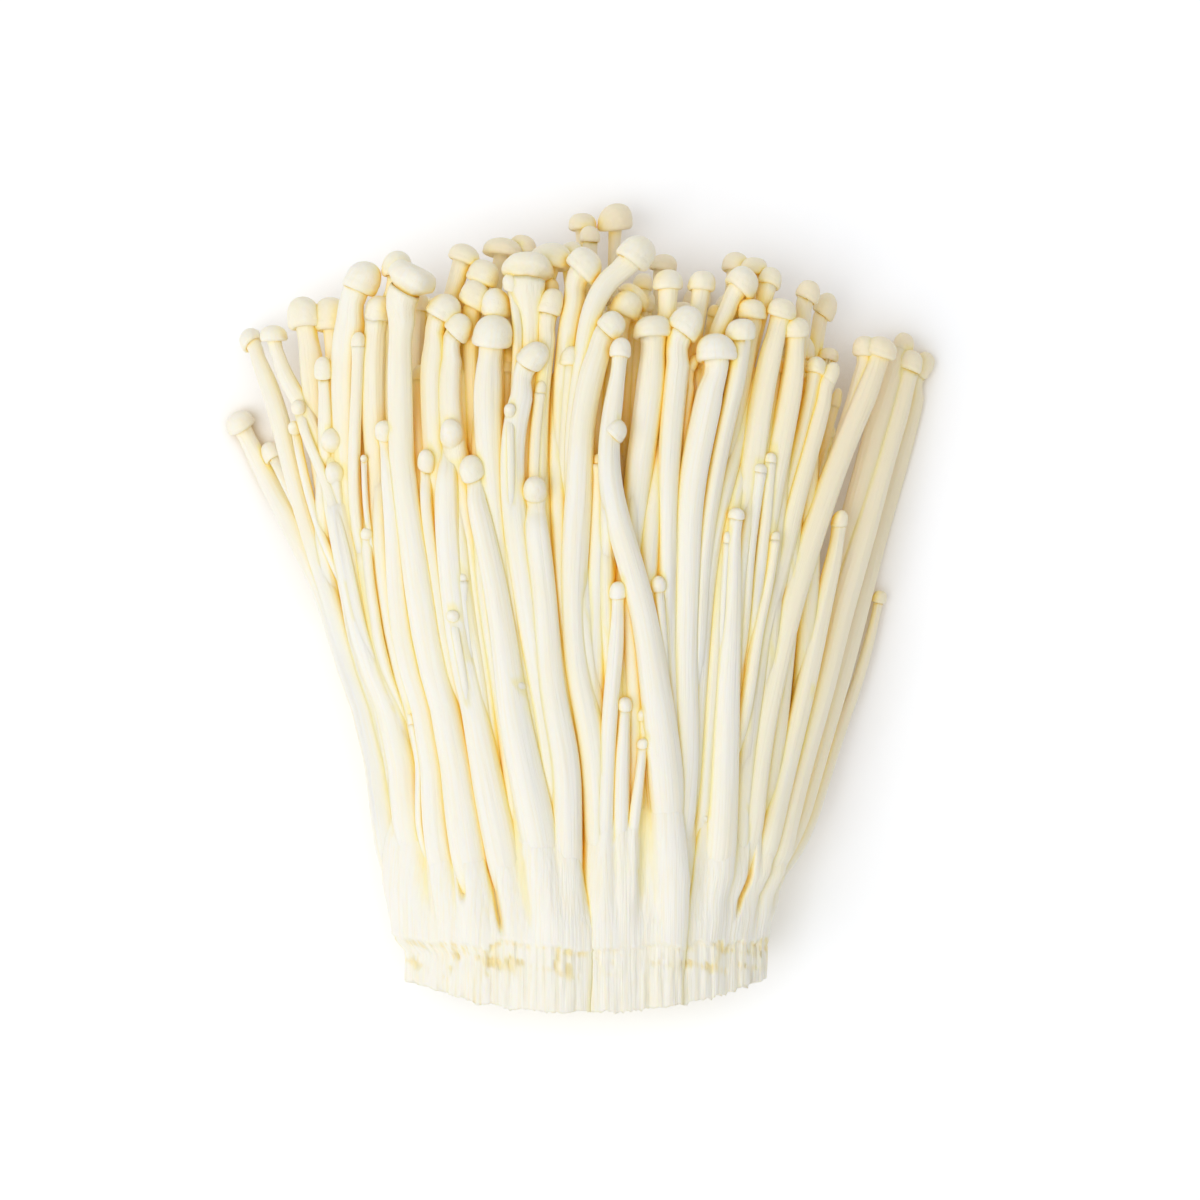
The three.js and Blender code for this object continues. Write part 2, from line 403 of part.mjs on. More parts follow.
// ---- The root block: an oval turned profile with a ledge, and a ragged cut end ----
function rootBlock(random) {
  const profile = BLOCK_RINGS.map(([, halfWidth], i) => new THREE.Vector2(halfWidth ? 1 : 0, i));
  const geometry = new THREE.LatheGeometry(profile, BLOCK_SIDES);
  const raggedness = Array.from({ length: BLOCK_SIDES }, () => (random() * 2 - 1) * RAGGED);
  const place = geometry.attributes.position;
  for (let i = 0; i < place.count; i += 1) {
    const ring = i % BLOCK_RINGS.length;
    const side = Math.floor(i / BLOCK_RINGS.length) % BLOCK_SIDES;
    const [y, halfWidth, halfThickness, middleZ] = BLOCK_RINGS[ring];
    place.setXYZ(
      i,
      ROOT_MIDDLE_X + place.getX(i) * halfWidth,
      y + (ring === 1 ? raggedness[side] : 0),
      middleZ + place.getZ(i) * halfThickness,
    );
  }
  return toSolid(geometry);
}

// The upright space that a tuft may fill, from the surface up, between two borders.
function tuftSpace(leftBorder, rightBorder) {
  const outline = new THREE.Shape();
  const left = leftBorder.map(([y, x]) => new THREE.Vector2(x + PARTING_GAP / 2, y));
  const right = rightBorder.map(([y, x]) => new THREE.Vector2(x - PARTING_GAP / 2, y));
  outline.setFromPoints([...right, ...left.reverse()]);
  const geometry = new THREE.ExtrudeGeometry(outline, { depth: TABLE_SIZE, bevelEnabled: false });
  return toSolid(geometry);
}

function largestPiece(solid) {
  return solid.decompose().reduce((a, b) => (a.volume() > b.volume() ? a : b));
}

const FAR_LEFT = [[-90, -TABLE_SIZE], [90, -TABLE_SIZE]];
const FAR_RIGHT = [[-90, TABLE_SIZE], [90, TABLE_SIZE]];

const TUFTS = [
  {
    name: "tuft_left",
    rows: LEFT_MUSHROOMS,
    space: [FAR_LEFT, PARTING_LEFT],
    inner: [INNER_LEFT_EDGE, PARTING_LEFT],
    isFlank: (i) => i === 0,
    colour: 0xf4eed6,
  },
  {
    name: "tuft_middle",
    rows: MIDDLE_MUSHROOMS,
    space: [PARTING_LEFT, PARTING_RIGHT],
    inner: [PARTING_LEFT, PARTING_RIGHT],
    isFlank: () => false,
    colour: 0xf2ebd0,
  },
  {
    name: "tuft_right",
    rows: RIGHT_MUSHROOMS,
    space: [PARTING_RIGHT, FAR_RIGHT],
    inner: [PARTING_RIGHT, INNER_RIGHT_EDGE],
    isFlank: (i, count) => i === count - 1,
    colour: 0xf0e8cc,
  },
];

function buildTuft({ name, rows, space, inner, isFlank, colour }) {
  const grown = rows.map(shownMushroom);
  grown.push(...innerMushrooms(inner, isFlank, makeRandom(SEED)));
  grown.push(rootBlock(makeRandom(SEED)));
  const whole = wasm.Manifold.union(grown).intersect(tuftSpace(space[0], space[1]));
  const geometry = toGeometry(largestPiece(whole));
  const material = new THREE.MeshStandardMaterial({ color: colour, roughness: 0.5, metalness: 0 });
  const mesh = new THREE.Mesh(geometry, material);
  mesh.name = name;
  return mesh;
}

const bunch = new THREE.Group();
for (const tuft of TUFTS) {
  bunch.add(buildTuft(tuft));
}
bunch.position.set(ORIGIN_SHIFT.x, ORIGIN_SHIFT.y, 0);

export default bunch;
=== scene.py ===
"""An enoki mushroom bunch lying on its side, with its cut end at the foot of the picture.

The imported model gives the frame: metres, +Z up, +Y from the cut root end to the caps. Sizes
below are in millimetres in the bunch's own plan and are turned into metres at the very end.
Each tuft gets two pieces: its mushrooms, one smooth closed skin each from cap to root, and its
share of the fused root block they rise from.
"""
import math

import bmesh
import bpy
import numpy as np
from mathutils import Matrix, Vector


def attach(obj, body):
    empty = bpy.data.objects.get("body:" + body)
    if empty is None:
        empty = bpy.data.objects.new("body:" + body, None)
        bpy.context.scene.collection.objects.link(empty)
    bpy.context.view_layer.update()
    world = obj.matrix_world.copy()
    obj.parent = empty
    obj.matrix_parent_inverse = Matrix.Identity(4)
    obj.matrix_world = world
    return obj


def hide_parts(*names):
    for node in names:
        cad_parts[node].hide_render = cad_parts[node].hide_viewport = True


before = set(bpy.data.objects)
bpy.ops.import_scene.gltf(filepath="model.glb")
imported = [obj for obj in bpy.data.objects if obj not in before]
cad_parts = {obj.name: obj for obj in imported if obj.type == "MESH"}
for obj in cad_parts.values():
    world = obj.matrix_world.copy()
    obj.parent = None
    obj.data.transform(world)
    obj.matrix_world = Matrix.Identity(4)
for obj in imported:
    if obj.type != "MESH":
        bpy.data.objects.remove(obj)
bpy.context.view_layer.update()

MM = 0.001

# ---- The bunch, as in the part's own source ----
ROOT_MIDDLE_X = 0.7
CUT_END_Y = -62.5
LEDGE_Y = -52.5
FAN_FOOT_Y = -60
FAN_LENGTH = 125
CROWN_AT_ROOT = 33.5
CROWN_DROP = 5
SHOULDER_AT_ROOT = 16
FAN_HALF_WIDTH = (30.5, 59.5)
SPLAY_FROM = (2.9, 1.6, 20)  # x and y under the camera, and the height where the plan is true
SPLAY_PER_MM = 0.0021
ORIGIN_SHIFT = (0.2, -2.0)  # from the photograph's plan to the model's own

UNDERSIDE_HEIGHT = 2.4
INNER_LEVELS = (0, 0.36, 0.72)
LAYER_SPACING = 5.4
COVER = 6.5
INNER_MARGIN = 2.2
INNER_STEM = (2.9, 3.3)
INNER_CAP = (5, 4)
LONG_ROOTS = (12, -16, -44)
INNER_TIP_Y = 55
INNER_TIP_SPREAD = 9
INNER_TIP_FALL = 13
INNER_FAN = (40, 38)
INNER_JITTER = 0.4
INNER_SIZES = (0.9, 1.15)
NECK_BEND = 10
SEED = 20417

PARTING_LEFT = [
    [-66, 1.0], [-57, 1.5], [-50, 1.8], [-45, 1.2], [-38, -0.3], [-30, -0.2], [-22, 0.1],
    [-14, -1.8], [-6, -3.2], [0, -3.8], [11, -4.7], [26, -5.1], [40, -4.6], [46, -3.6],
    [49, -2.6], [51, -2.6], [53, -3.3], [55, -4.2], [72, -4.2],
]
PARTING_RIGHT = [
    [-66, 15.8], [-58, 16.0], [-48, 17.0], [-40, 17.6], [-32, 18.8], [-19, 19.4], [-6, 19.9],
    [4, 20.9], [14, 22.2], [23, 25.4], [33, 27.4], [43, 29.4], [47, 29.7], [50, 32.2], [72, 36.0],
]
INNER_LEFT_EDGE = [[-55, -27.5], [-30, -32.5], [-5, -37.5], [15, -39.8], [60, -38.6]]
INNER_RIGHT_EDGE = [[-55, 28.5], [-30, 34], [-5, 38], [15, 37.6], [60, 38]]

# ---- The mushrooms that show ----
# depth under the crown; stem width at the cap and at the root; cap width and height;
# the cap's turn clockwise and lift upwards in degrees; then x, y from the cap to the root.
LEFT_MUSHROOMS = [
    [0, 2.6, 3.4, 4.8, 3.3, 0, 10,
     [-55, 30.2, -50.1, 20.8, -46.2, 13.9, -40.3, 0.8, -35.5, -17, -28.2, -51]],
    [2, 1.8, 2.4, 3.4, 3.5, 0, 20, [-49.8, 25.3, -46.7, 19.2, -42.2, 9.6, -37.1, -8, -31.5, -32]],
    [0, 2.4, 3.2, 4.2, 3.1, -10, 0,
     [-53.3, 43.5, -49.4, 34.2, -47.2, 25.4, -43.7, 13.1, -37.9, -6.4, -28.3, -51]],
    [1.5, 2.1, 3, 4.5, 2.8, 5, 5,
     [-49.4, 44.3, -48.3, 38.2, -43.4, 31, -40, 17.6, -37.9, 6.4, -34.7, -11.2, -27.5, -50]],
    [-0.5, 1.8, 2.2, 2.5, 2.3, 0, 45, [-45.4, 32.6, -44.5, 28, -41.2, 21.8, -37.5, 8, -35, -4]],
    [0, 1.4, 1.8, 2.2, 2.4, 0, 60, [-46, 29.3, -45, 24, -42.5, 14]],
    [3, 3, 3.6, 5.8, 5.4, 0, 5,
     [-44.5, 47.5, -43.2, 39.2, -42.2, 30, -40.3, 17.6, -38.4, 4.8, -35.2, -12.8, -27, -50]],
    [6, 3, 3.4, 6.2, 5.8, 0, 0, [-40, 47.2, -39.6, 38, -38.4, 22, -35.5, 1.6, -29, -38]],
    [2, 3.8, 4.4, 6.2, 5.4, 10, 0,
     [-35, 53.3, -37, 46.7, -37.7, 38, -36.8, 17.6, -33.1, -8, -29.9, -24, -25.3, -50]],
    [0.5, 1.9, 2.2, 2.3, 2.6, 0, 0, [-35.8, 43.2, -36, 36, -36.5, 24, -36, 12]],
    [1, 1.9, 3.2, 3.2, 3.6, 0, 10,
     [-41.3, 38.8, -40.8, 30, -41.4, 11, -39.5, 0.3, -33.1, -30.4, -29, -50]],
    [0.5, 2.8, 3, 4.2, 3.4, 0, 60, [-39.9, 27.4, -39.5, 22, -37.8, 10, -35.5, -6]],
    [0, 3.2, 3.8, 3.8, 3.6, 0, 35,
     [-39.3, 22, -39.4, 18, -37.8, 10.6, -35.7, 0.3, -29.4, -27.2, -25.4, -51]],
    [2, 3.4, 2.8, 4.2, 4, 0, 10, [-32.5, 48.3, -33.5, 41, -32.8, 24, -31.3, 0, -27.8, -30.4, -24.8, -51]],
    [0, 2.7, 4.8, 7.8, 5.2, 14, 10,
     [-27.2, 53, -28.3, 50, -29.1, 44, -29, 33.6,
      -28.4, 20, -25.9, 5.4, -23.4, -11.8, -18.2, -37.4, -16.3, -51]],
    [4, 2.8, 3, 5, 4.2, -10, 0, [-29.6, 55.4, -31, 48, -31.4, 38, -30.5, 20, -28, -5, -24, -28]],
    [8, 2.6, 3, 3.4, 3.2, 0, 0, [-26, 49.2, -26.4, 38, -25.5, 18, -22, -12]],
    [10, 2.6, 3, 3.4, 3.2, 0, 0, [-26, 46, -26, 34, -24.5, 10, -20, -20]],
    [0, 2.2, 3.5, 3.4, 3.5, 0, 45,
     [-31.5, 28.8, -31, 24.6, -30.1, 15.7, -29.1, 1.6, -25.3, -24, -20.8, -51]],
    [0.5, 1.8, 2.4, 3, 3.5, 0, 30, [-24.8, 24, -25.3, 19.2, -24.5, 13.1, -23, 4, -21.2, -9]],
    [2, 3.2, 3.6, 5.6, 4.4, 15, 5,
     [-21.8, 48.4, -23.6, 43, -24, 37, -22, 10, -20.8, -4.8, -17.1, -33.6, -14.5, -51]],
    [1.5, 3, 3.4, 4.6, 3.8, 20, 5, [-19.4, 45.4, -21.3, 40, -21.3, 34, -18, 10, -16.3, -4.8, -12.8, -44]],
    [0, 2.7, 4.2, 4, 4.6, 0, 50,
     [-20.8, 28.4, -21.4, 22.5, -21.5, 13, -20.2, 0.3, -16.2, -22.4, -13.6, -33.6, -10.4, -51]],
    [0.3, 1.6, 2.4, 1.6, 1.6, 0, 0, [-19, 5.3, -18.6, -2, -17.6, -14]],
    [7, 2.7, 3, 5.2, 3.2, 0, 0, [-18.8, 57, -20.5, 52, -22, 44, -22.3, 30, -21, 5, -17, -25]],
    [13, 2.6, 2.8, 6.8, 3.2, -5, 0, [-12.6, 58, -14.5, 50, -15.5, 35, -12, -25]],
    [15, 2.6, 2.8, 4.6, 3.2, 0, 0, [-9.4, 58.4, -10.8, 48, -11, 30, -7, -28]],
    [6, 2.8, 3, 5.6, 4, 0, 0, [-15.6, 54, -17.2, 49, -18.4, 40, -18.2, 25, -13, -30]],
    [4.5, 2.6, 3, 5.2, 4.6, 10, 5, [-16.8, 50.4, -17.8, 44, -17.6, 34, -14.5, -8, -11.5, -35]],
    [3.5, 2.8, 3.2, 5.2, 4.6, 0, 10, [-13.7, 49.2, -13.9, 42, -13.2, 25, -9.4, -22]],
    [0.5, 3.5, 3.6, 6.4, 5.2, 0, 5,
     [-14.2, 44.6, -14.9, 40, -14.9, 28.8, -11.8, -1.6, -7.8, -18.6, -3.6, -38.4, -1.6, -51]],
    [5, 1.8, 2.2, 2.4, 2.7, 0, 0, [-11.8, 40.6, -12.2, 32, -11.4, 14]],
    [2.5, 1.6, 2, 3.2, 2.6, 0, 30, [-11.2, 52.5, -10.2, 48, -10.3, 40, -10.8, 28]],
    [3, 2.6, 3, 8.2, 4.8, 8, -8, [-8.6, 54.6, -8.4, 48, -8.4, 40, -9.2, 25, -7.8, 2, -3.6, -44]],
    [7, 2.8, 3, 7.2, 4.4, -5, 0, [-4.9, 56.6, -7, 50, -7.4, 35, -6.9, 12, -4.6, -14]],
    [6, 2.4, 2.8, 3, 2.6, 0, 0, [-5.1, 51.9, -5.5, 46, -6.6, 36, -6.4, 15]],
    [2.5, 2.6, 3, 4, 4.4, 10, 5, [-4.9, 49.3, -5.4, 44, -6.2, 38, -6.9, 25, -6.5, 8, -5.4, -6]],
    [0, 3, 3.2, 4.6, 4.6, 20, 10,
     [-7.5, 40.8, -9, 36.5, -10.9, 30, -11.2, 21, -8.5, 0.3, -5.1, -22.4, -2.4, -46]],
    [-0.6, 1.2, 1.4, 2, 2, 0, 60, [-11.5, 32, -11.4, 27, -11.3, 20]],
    [2, 1.8, 2.2, 1.9, 2.4, 0, 0, [-6.6, 35.6, -7.1, 32, -7.7, 24, -7.6, 10]],
    [-0.8, 2.7, 4.6, 4.2, 3.6, -10, 25,
     [-17.8, 22.8, -17.3, 18.5, -15.4, 11.8, -13.6, 2.9, -11.2, -14.4, -7, -35.2, -4.4, -51]],
    [-0.8, 3, 3.4, 3.9, 4, 0, 45,
     [-7.5, 19.5, -7.7, 15.5, -6.4, 5.4, -4.6, -14.4, -2.6, -24, -2.4, -38, -1.4, -51]],
    [0.3, 1.8, 2, 2.1, 1.9, 0, 30, [-34.4, 12.3, -34.5, 8, -33.1, 0.3, -31.5, -11]],
    [0.5, 1.2, 1.4, 1.7, 1.9, 0, 30, [-34.4, -24.5, -33.6, -29, -32, -38]],
    [-0.5, 2, 2.6, 2.6, 2.3, 0, 30, [-10.1, -12.3, -9.8, -16, -6.6, -33]],
    [0.5, 1, 1.2, 1.2, 1.2, 0, 60, [-34.9, 24.3, -34.8, 20, -34.5, 14]],
    [-0.3, 1.4, 1.8, 1.5, 2, 0, 0, [-28.6, -17.6, -27.6, -22, -26.5, -36]],
    [-1, 1.2, 1.6, 2.1, 1.7, 0, 45, [-20.6, -0.8, -20, -5, -19, -12]],
]
MIDDLE_MUSHROOMS = [
    [3, 3.2, 3.4, 6.2, 4.5, 15, 5,
     [0.8, 55.4, -0.9, 51.8, -1.9, 46.7, -3, 35, -3.2, 20, -2.6, 8, 0.8, -15]],
    [9, 2.8, 3, 4.2, 4, 0, 0, [-1.8, 57, -1, 50, -1.6, 44, -2, 30, 2, -15]],
    [2.5, 2.9, 3.2, 4, 3.5, 0, 5, [-1.7, 40.5, -2.1, 36, -2.5, 24, -2.2, 8, 0.6, -12, 2, -30]],
    [20, 2, 3, 5.9, 4.6, 0, 10, [5.4, 62.9, 5.1, 58, 5, 45, 5, 10, 6, -30]],
    [20, 2, 3, 4.8, 3, 0, 0, [0, 62.1, 0.2, 57, 0.5, 40, 1, 0, 3, -30]],
    [17, 2.2, 2.8, 3.4, 2.8, 0, 0, [1.3, 60.2, 1.2, 55, 1.6, 35, 3, -20]],
    [1.5, 3.2, 3.4, 6, 5, -10, 0,
     [9, 57.4, 6.8, 55.6, 3.6, 52.8, 1.4, 48.5, 0.5, 42, -0.6, 33, -1, 20, 0.5, 0]],
    [0, 3.2, 3.2, 4.6, 3.8, 10, 10,
     [5, 45.8, 3, 43.5, 1.4, 37.5, -0.2, 29, -0.5, 20, -1.3, 8, -0.9, -8, 1.8, -22, 3, -50]],
    [5, 3, 3.2, 3.6, 3, 0, 0, [3.4, 42, 2.9, 35, 2.2, 25, 2.2, 5, 3, -20]],
    [4, 2.8, 3, 5.2, 4.4, 10, 5, [7.2, 48.8, 5.9, 43, 4.8, 33, 4.6, 10, 5, -20]],
    [7, 2.4, 2.8, 6, 2.6, 30, 0, [8.6, 50.3, 7.6, 44, 6.8, 30, 6.5, 0]],
    [10, 2.4, 2.8, 3.4, 3, 0, 0, [9.8, 52.4, 9.4, 45, 9, 25, 8.6, -10]],
    [16, 2.4, 2.8, 4.6, 3, 10, 0, [13.2, 55.6, 12.4, 48, 11.5, 25, 10, -20]],
    [4, 2.7, 3.2, 4.7, 3.4, 0, 0, [13.8, 52.8, 13.6, 47, 13.2, 38, 12, 15, 11, -15]],
    [7, 2, 2.4, 3, 2.4, 0, 0, [9.1, 46, 8.4, 38, 8, 15]],
    [-1, 2.1, 4.2, 3.4, 3.3, 0, 0,
     [6.2, 41.9, 6, 38, 4.6, 31, 4.3, 20, 6.7, 10.6, 9.9, 0, 11.6, -12, 13.4, -27, 14.6, -44]],
    [-1, 2.4, 2.8, 3.9, 3, 25, 0, [5.6, 29, 4.4, 25.5, 4.4, 19]],
    [1, 3, 2.6, 2.6, 2, 0, 0, [3, 24, 2.9, 14, 2.1, -2.2, 2.1, -17, 1.9, -34.9, 2.8, -48]],
    [1.5, 3.4, 3.6, 6.4, 3.7, 0, 0,
     [11.4, 45.2, 11.3, 40, 10.4, 31, 8.8, 20.8, 7.6, 5, 7.4, -20, 8.5, -46]],
    [0.5, 3.7, 3, 5.6, 5, 15, 5,
     [17, 46.1, 15.4, 41.5, 14.8, 34, 13.9, 23.4, 13.6, 8, 14.3, -10, 15, -38]],
    [3, 1.3, 1.8, 1.7, 2.7, 20, 0, [17.9, 39.6, 17, 34, 16, 20]],
    [5, 2.7, 3, 4.5, 3.3, 0, 5, [19.2, 52.6, 18.6, 48, 17.2, 40, 15.5, 20, 14.6, -5]],
    [0, 3.5, 3.4, 6.8, 4.6, -10, 5,
     [21.4, 41.9, 21.3, 38, 19.6, 31, 17.7, 21, 16.8, 8, 16.4, -6, 16.3, -24, 14.6, -46]],
    [0.5, 3, 3, 5.1, 3.6, 0, 5,
     [25.5, 44.8, 25.5, 40, 23.2, 31, 21.7, 23.4, 20.2, 14, 19.1, 4, 18.4, -10]],
    [4, 2.9, 3.2, 5.6, 4.3, 5, 5, [25.9, 52.7, 24.2, 50, 22, 45.5, 20, 38, 17.8, 25, 16.4, 5, 15.8, -20]],
    [12, 2.2, 2.6, 4.6, 3.4, 0, 0, [24.6, 55.6, 23.6, 48, 21, 30, 17, 0]],
    [9, 2.2, 2.6, 4.4, 3, 0, 0, [27.6, 55, 26.2, 48, 22.5, 28, 17.5, -5]],
    [8, 1.9, 2.4, 2.6, 2.2, 0, 0, [21.4, 47.8, 20, 42, 18, 30, 16, 8]],
    [6, 2.6, 3, 4, 3.2, 0, 0, [30.2, 53.2, 28.6, 48, 26.4, 39, 23.4, 27, 19.6, 8, 17.4, -15]],
    [3.5, 2.6, 3, 4.6, 3.4, -10, 5, [27.3, 48.1, 27, 43, 25.7, 36.5, 23.6, 25, 20.8, 12, 18.4, -5]],
    [-0.5, 1.8, 2.2, 2.8, 2.7, 0, 20, [5.8, 3.2, 5.9, 0, 5.1, -9.3, 4.2, -21, 3.7, -35, 4, -49]],
    [0, 1.8, 2.2, 2.6, 2.3, 0, 30, [12.2, 4.3, 12.5, 0.5, 13.2, -9]],
    [-0.5, 1.8, 2.2, 2.4, 2, 0, 25, [6.9, -15, 6.9, -18.2, 6.3, -26, 6.4, -48]],
    [0.2, 1.7, 2.2, 2.2, 1.8, 0, 30, [9.8, -16.6, 10.2, -20, 11.4, -28, 13, -46]],
    [-0.7, 1.4, 1.7, 1.9, 1.6, 0, 30, [9.8, -21.3, 9.6, -24.6, 8.4, -32, 8, -44]],
]
RIGHT_MUSHROOMS = [
    [2, 3, 3.6, 4.9, 3.2, 0, 5,
     [32.2, 48.2, 31.2, 44.5, 29.6, 38.5, 28.2, 30, 27, 21, 25, 6, 23.8, -15, 21.8, -49]],
    [1.5, 2.9, 3.4, 4.6, 3.2, 0, 10,
     [34.2, 45.2, 34.3, 41, 33.4, 34, 31.4, 25, 28.6, 8, 26.4, -14, 24.6, -50]],
    [6, 2.4, 3, 4.1, 3.5, 10, 0, [36.4, 51.1, 35.6, 47.5, 34.6, 40, 33, 28, 28.5, -2, 26, -30]],
    [10, 2.4, 2.8, 4, 4.2, 10, 0, [39.2, 48.8, 37.8, 44.5, 36.6, 38, 34, 20, 28, -20]],
    [2.5, 2.4, 3, 3.8, 3, 0, 0, [37.6, 39, 36.9, 34.5, 35.4, 28, 32.6, 18, 28.5, -4, 26, -28]],
    [1, 2.1, 3.2, 2.8, 3.5, 10, 0,
     [40, 38, 38.9, 34, 37, 27, 34.4, 18, 32, 7.5, 28.6, -4.3, 25.6, -30, 24.6, -50]],
    [8, 2, 2.6, 3.5, 2.2, 0, 0, [39.6, 40.9, 38.4, 36, 36, 26, 31, 5]],
    [8, 1.4, 2, 1.9, 3.4, 0, 0, [40.8, 34, 39.6, 29, 37, 20]],
    [9, 1.3, 2, 1.8, 2, 0, 20, [39.8, 28.6, 38.6, 24, 35, 12]],
    [1, 1.9, 2.4, 2.4, 1.6, 0, 0, [28.6, 22.7, 28, 18.2, 26.8, 10.6, 25.6, -6]],
    [1, 1.9, 2.8, 2.1, 1.8, 0, 0, [30.2, 24.3, 29.9, 18.2, 28.4, 6, 27, -8]],
    [0, 2.1, 4.6, 2.8, 2, 0, 10,
     [24.7, 15.4, 24.1, 11.8, 24, 4, 23.5, -6, 22.6, -22, 22, -38, 20.8, -51]],
    [0.5, 1.5, 2, 1.7, 2, 0, 10, [23.4, 11.6, 23, 7, 22.4, -6]],
    [0, 1.6, 2.8, 1.6, 1.6, 0, 0, [31, 11.8, 30.2, 5, 28, -4, 26.6, -14]],
    [-0.5, 2.1, 2.8, 2.7, 2.9, 0, 15, [41.3, 14.6, 41, 11, 39, 2.8, 35.8, -12.2, 31.7, -28.8, 27.2, -49]],
    [3, 2.6, 3, 4.4, 3.5, -10, 0, [45.4, 42.2, 45.2, 38.5, 42.5, 30, 38, 16, 34, 3, 28.5, -25]],
    [0, 3.1, 3.4, 5.4, 3.5, 0, 5,
     [48, 42.1, 47.2, 38.5, 44.6, 32.4, 41.2, 24.2,
      38.1, 15.7, 34.5, 5, 31.2, -8.8, 27.5, -28, 25.9, -50]],
    [3.5, 3.2, 3.4, 3.6, 3.3, 0, 10,
     [51.7, 42.8, 50.2, 39, 47.7, 31, 45.1, 20.8, 42.4, 10.6, 37.5, -6, 31, -30, 28.2, -47]],
    [-0.6, 3, 3.4, 4.4, 3.6, 0, 5,
     [52.7, 39.9, 51.8, 36, 49, 25.8, 45, 11.8, 41.4, -1, 37, -17.8, 30.5, -42, 29, -50]],
    [1.2, 2.8, 3.2, 3.7, 4, 20, 0,
     [54.8, 39.4, 53.5, 35, 51.1, 25.8, 47.4, 12, 43, -3.5, 38, -21, 29.8, -49]],
    [1, 1.4, 2.4, 2.4, 2.1, 0, 10, [47.7, 2.1, 47.2, -0.5, 44.3, -11, 41, -20, 35.5, -36, 30, -50]],
    [3, 1.3, 2, 1.8, 2.2, 0, 0, [45.3, 1, 44.6, -3, 42, -12, 37, -26]],
    [0.3, 1.1, 1.6, 1.4, 1.4, 0, 30, [19.9, -33.4, 19.9, -37, 20, -46]],
    [-0.5, 1.3, 2, 1.7, 1.5, 0, 30, [36.2, -13.9, 35.4, -17.5, 33, -26, 29.5, -40]],
    [9, 1.3, 2, 1.8, 1.8, 0, 20, [39.6, 25.5, 38.2, 21, 34.6, 9]],
]

# ---- Fineness of the meshes ----
SHOWN_SIDES = 24
DEEP_SIDES = 16
INNER_SIDES = 12
DEEP = 6
RING_STEP = 1.4
DEEP_RING_STEP = 2.6

# ---- What only this finer model has ----
# Stems
CURVE_STEPS = 24
SPINE_EVENING = 4.2  # kinks shorter than this are evened out of a stem
SWAY = 0.03  # how far a stem sways, as a share of its width, in waves this long
SWAY_WAVES = (22, 46)
SWELL = 0.045  # how much a stem's width swells and falls along it
SWELL_WAVES = (5, 9)  # in waves whose radian is this long
STEM_LOBES = (0.08, 0.05, 0.03, 0.022)  # depths of the two, three, five and eight round a stem
EVEN_ROOT = (6, 22)  # a stem is rounder near its root, between these ways from it
ROOT_LOBES = 0.2  # the share of the lobes that is left there
LOBE_SIZES = (0.4, 1.0)
TWIST = 0.02  # the most that the lobes turn in a millimetre
FIBRE_OFFSET = 400  # no two mushrooms have the same stretch of the fibres' noise
FULL_STEM = 3.4  # stems narrower than this are flattened less
ROOTED = -40  # a stem whose root is below this y runs into the root block
ROOT_SINK = 2.2  # its root lies deeper by this, over a way from this short to this long
ROOT_REACH = (12, 24)
ROOT_TAPER = 0.8
FAN_FOCUS = (0.7, -143)  # the stems aim at this place
DIVE_STEPS = ((9, 1.6), (19, 4.6), (30, 8))  # way on beyond a short stem's root, and its fall
DIVE_END_Y = -50
FLOOR_GAP = 0.03  # no mushroom goes nearer to the floor than this
PRESSED = 0.2  # how far a low stem or cap is pressed flat by the floor
UP = np.array([0.0, 0.0, 1.0])
# Layers of stems close under the ones that show: depth, spacing, stem width, tips' y.
UNDER_LAYERS = [(2.4, 3.4, 3.4, 40), (5.8, 4.0, 3.4, 38)]
UNDER_MARGIN = 1.2
UNDER_JITTER = 0.2
UNDER_TIP_SPREAD = 8
UNDER_TIP_DROP = (28, 4)  # towards the tip an under stem falls over this way by this much
UNDER_TAPER = 0.9
UNDER_CAP = (3.4, 3)
UNDER_SIZES = (0.85, 1.15)
UNDER_ROOTS = (5, -16, -44)

# Tints, as values at the corners of a mesh; most are painted shade, in creases, deep in the bunch and on
# its right side
CREASE_REACH = 0.5  # flesh this close to a neighbour gets painted shade in the crease
CREASE_ON_CAP = 0.5  # and a cap this much as strongly
FAR = 9.0  # a distance at which nothing is tinted
NEIGHBOUR_GAP = 1.0  # stems further apart than this don't touch anywhere
FACING = 0.35  # the least cosine between a corner's direction and its neighbour's
LEAST_SPREAD = 0.55  # nearer middles than this share of a radius are one stem in another
INNER_DEPTH = 8  # the innermost stems count as this much deeper
CAP_SHADE = (0.2, 1.2)  # the share of its depth that counts at a cap: the most, and over depth
BURIED = (4, 18, 0.9)  # all of it counts from here to there down the stem, later if it is deep
# A mushroom this deep has the full painted shade in its tone; deep mushrooms lie in the shade
FULL_SHADE_DEPTH = 14
TONE_SPREAD = 0.4
TONE_FROM_BLOCK = (8, 34)  # a rooted stem leaves the block's tone over this way from its root
BLOCK_SHADE = 0.8
BLOCK_TONE = 0.15
TONE_RISE = (0.35, -20, 45)  # yellower towards the caps: how much, from this y to that
RIGHT_SIDE_SHADE = (0.8, 0.45, 0.95)  # and painted shade to the right, away from the window: how much, between shares of the half width
RIGHT_SIDE_SHADE_FROM = (-56, -30)
EDGE_SHADE = (0.15, 0.02, 0.3)  # the depth that counts at the bunch's edge, between such shares

# A cap's outline from its top down: radius as a share of its half width, rise over its middle
# as a share of its height. The margin rolls in and the underside is shallow.
CAP_PROFILE = [
    (0, 0.5), (0.18, 0.493), (0.36, 0.466), (0.53, 0.416), (0.68, 0.345), (0.81, 0.245),
    (0.9, 0.13), (0.96, 0.005), (0.985, -0.1), (0.972, -0.16), (1.0, -0.23), (0.998, -0.33),
    (0.955, -0.41), (0.86, -0.46), (0.75, -0.468), (0.66, -0.435),
]
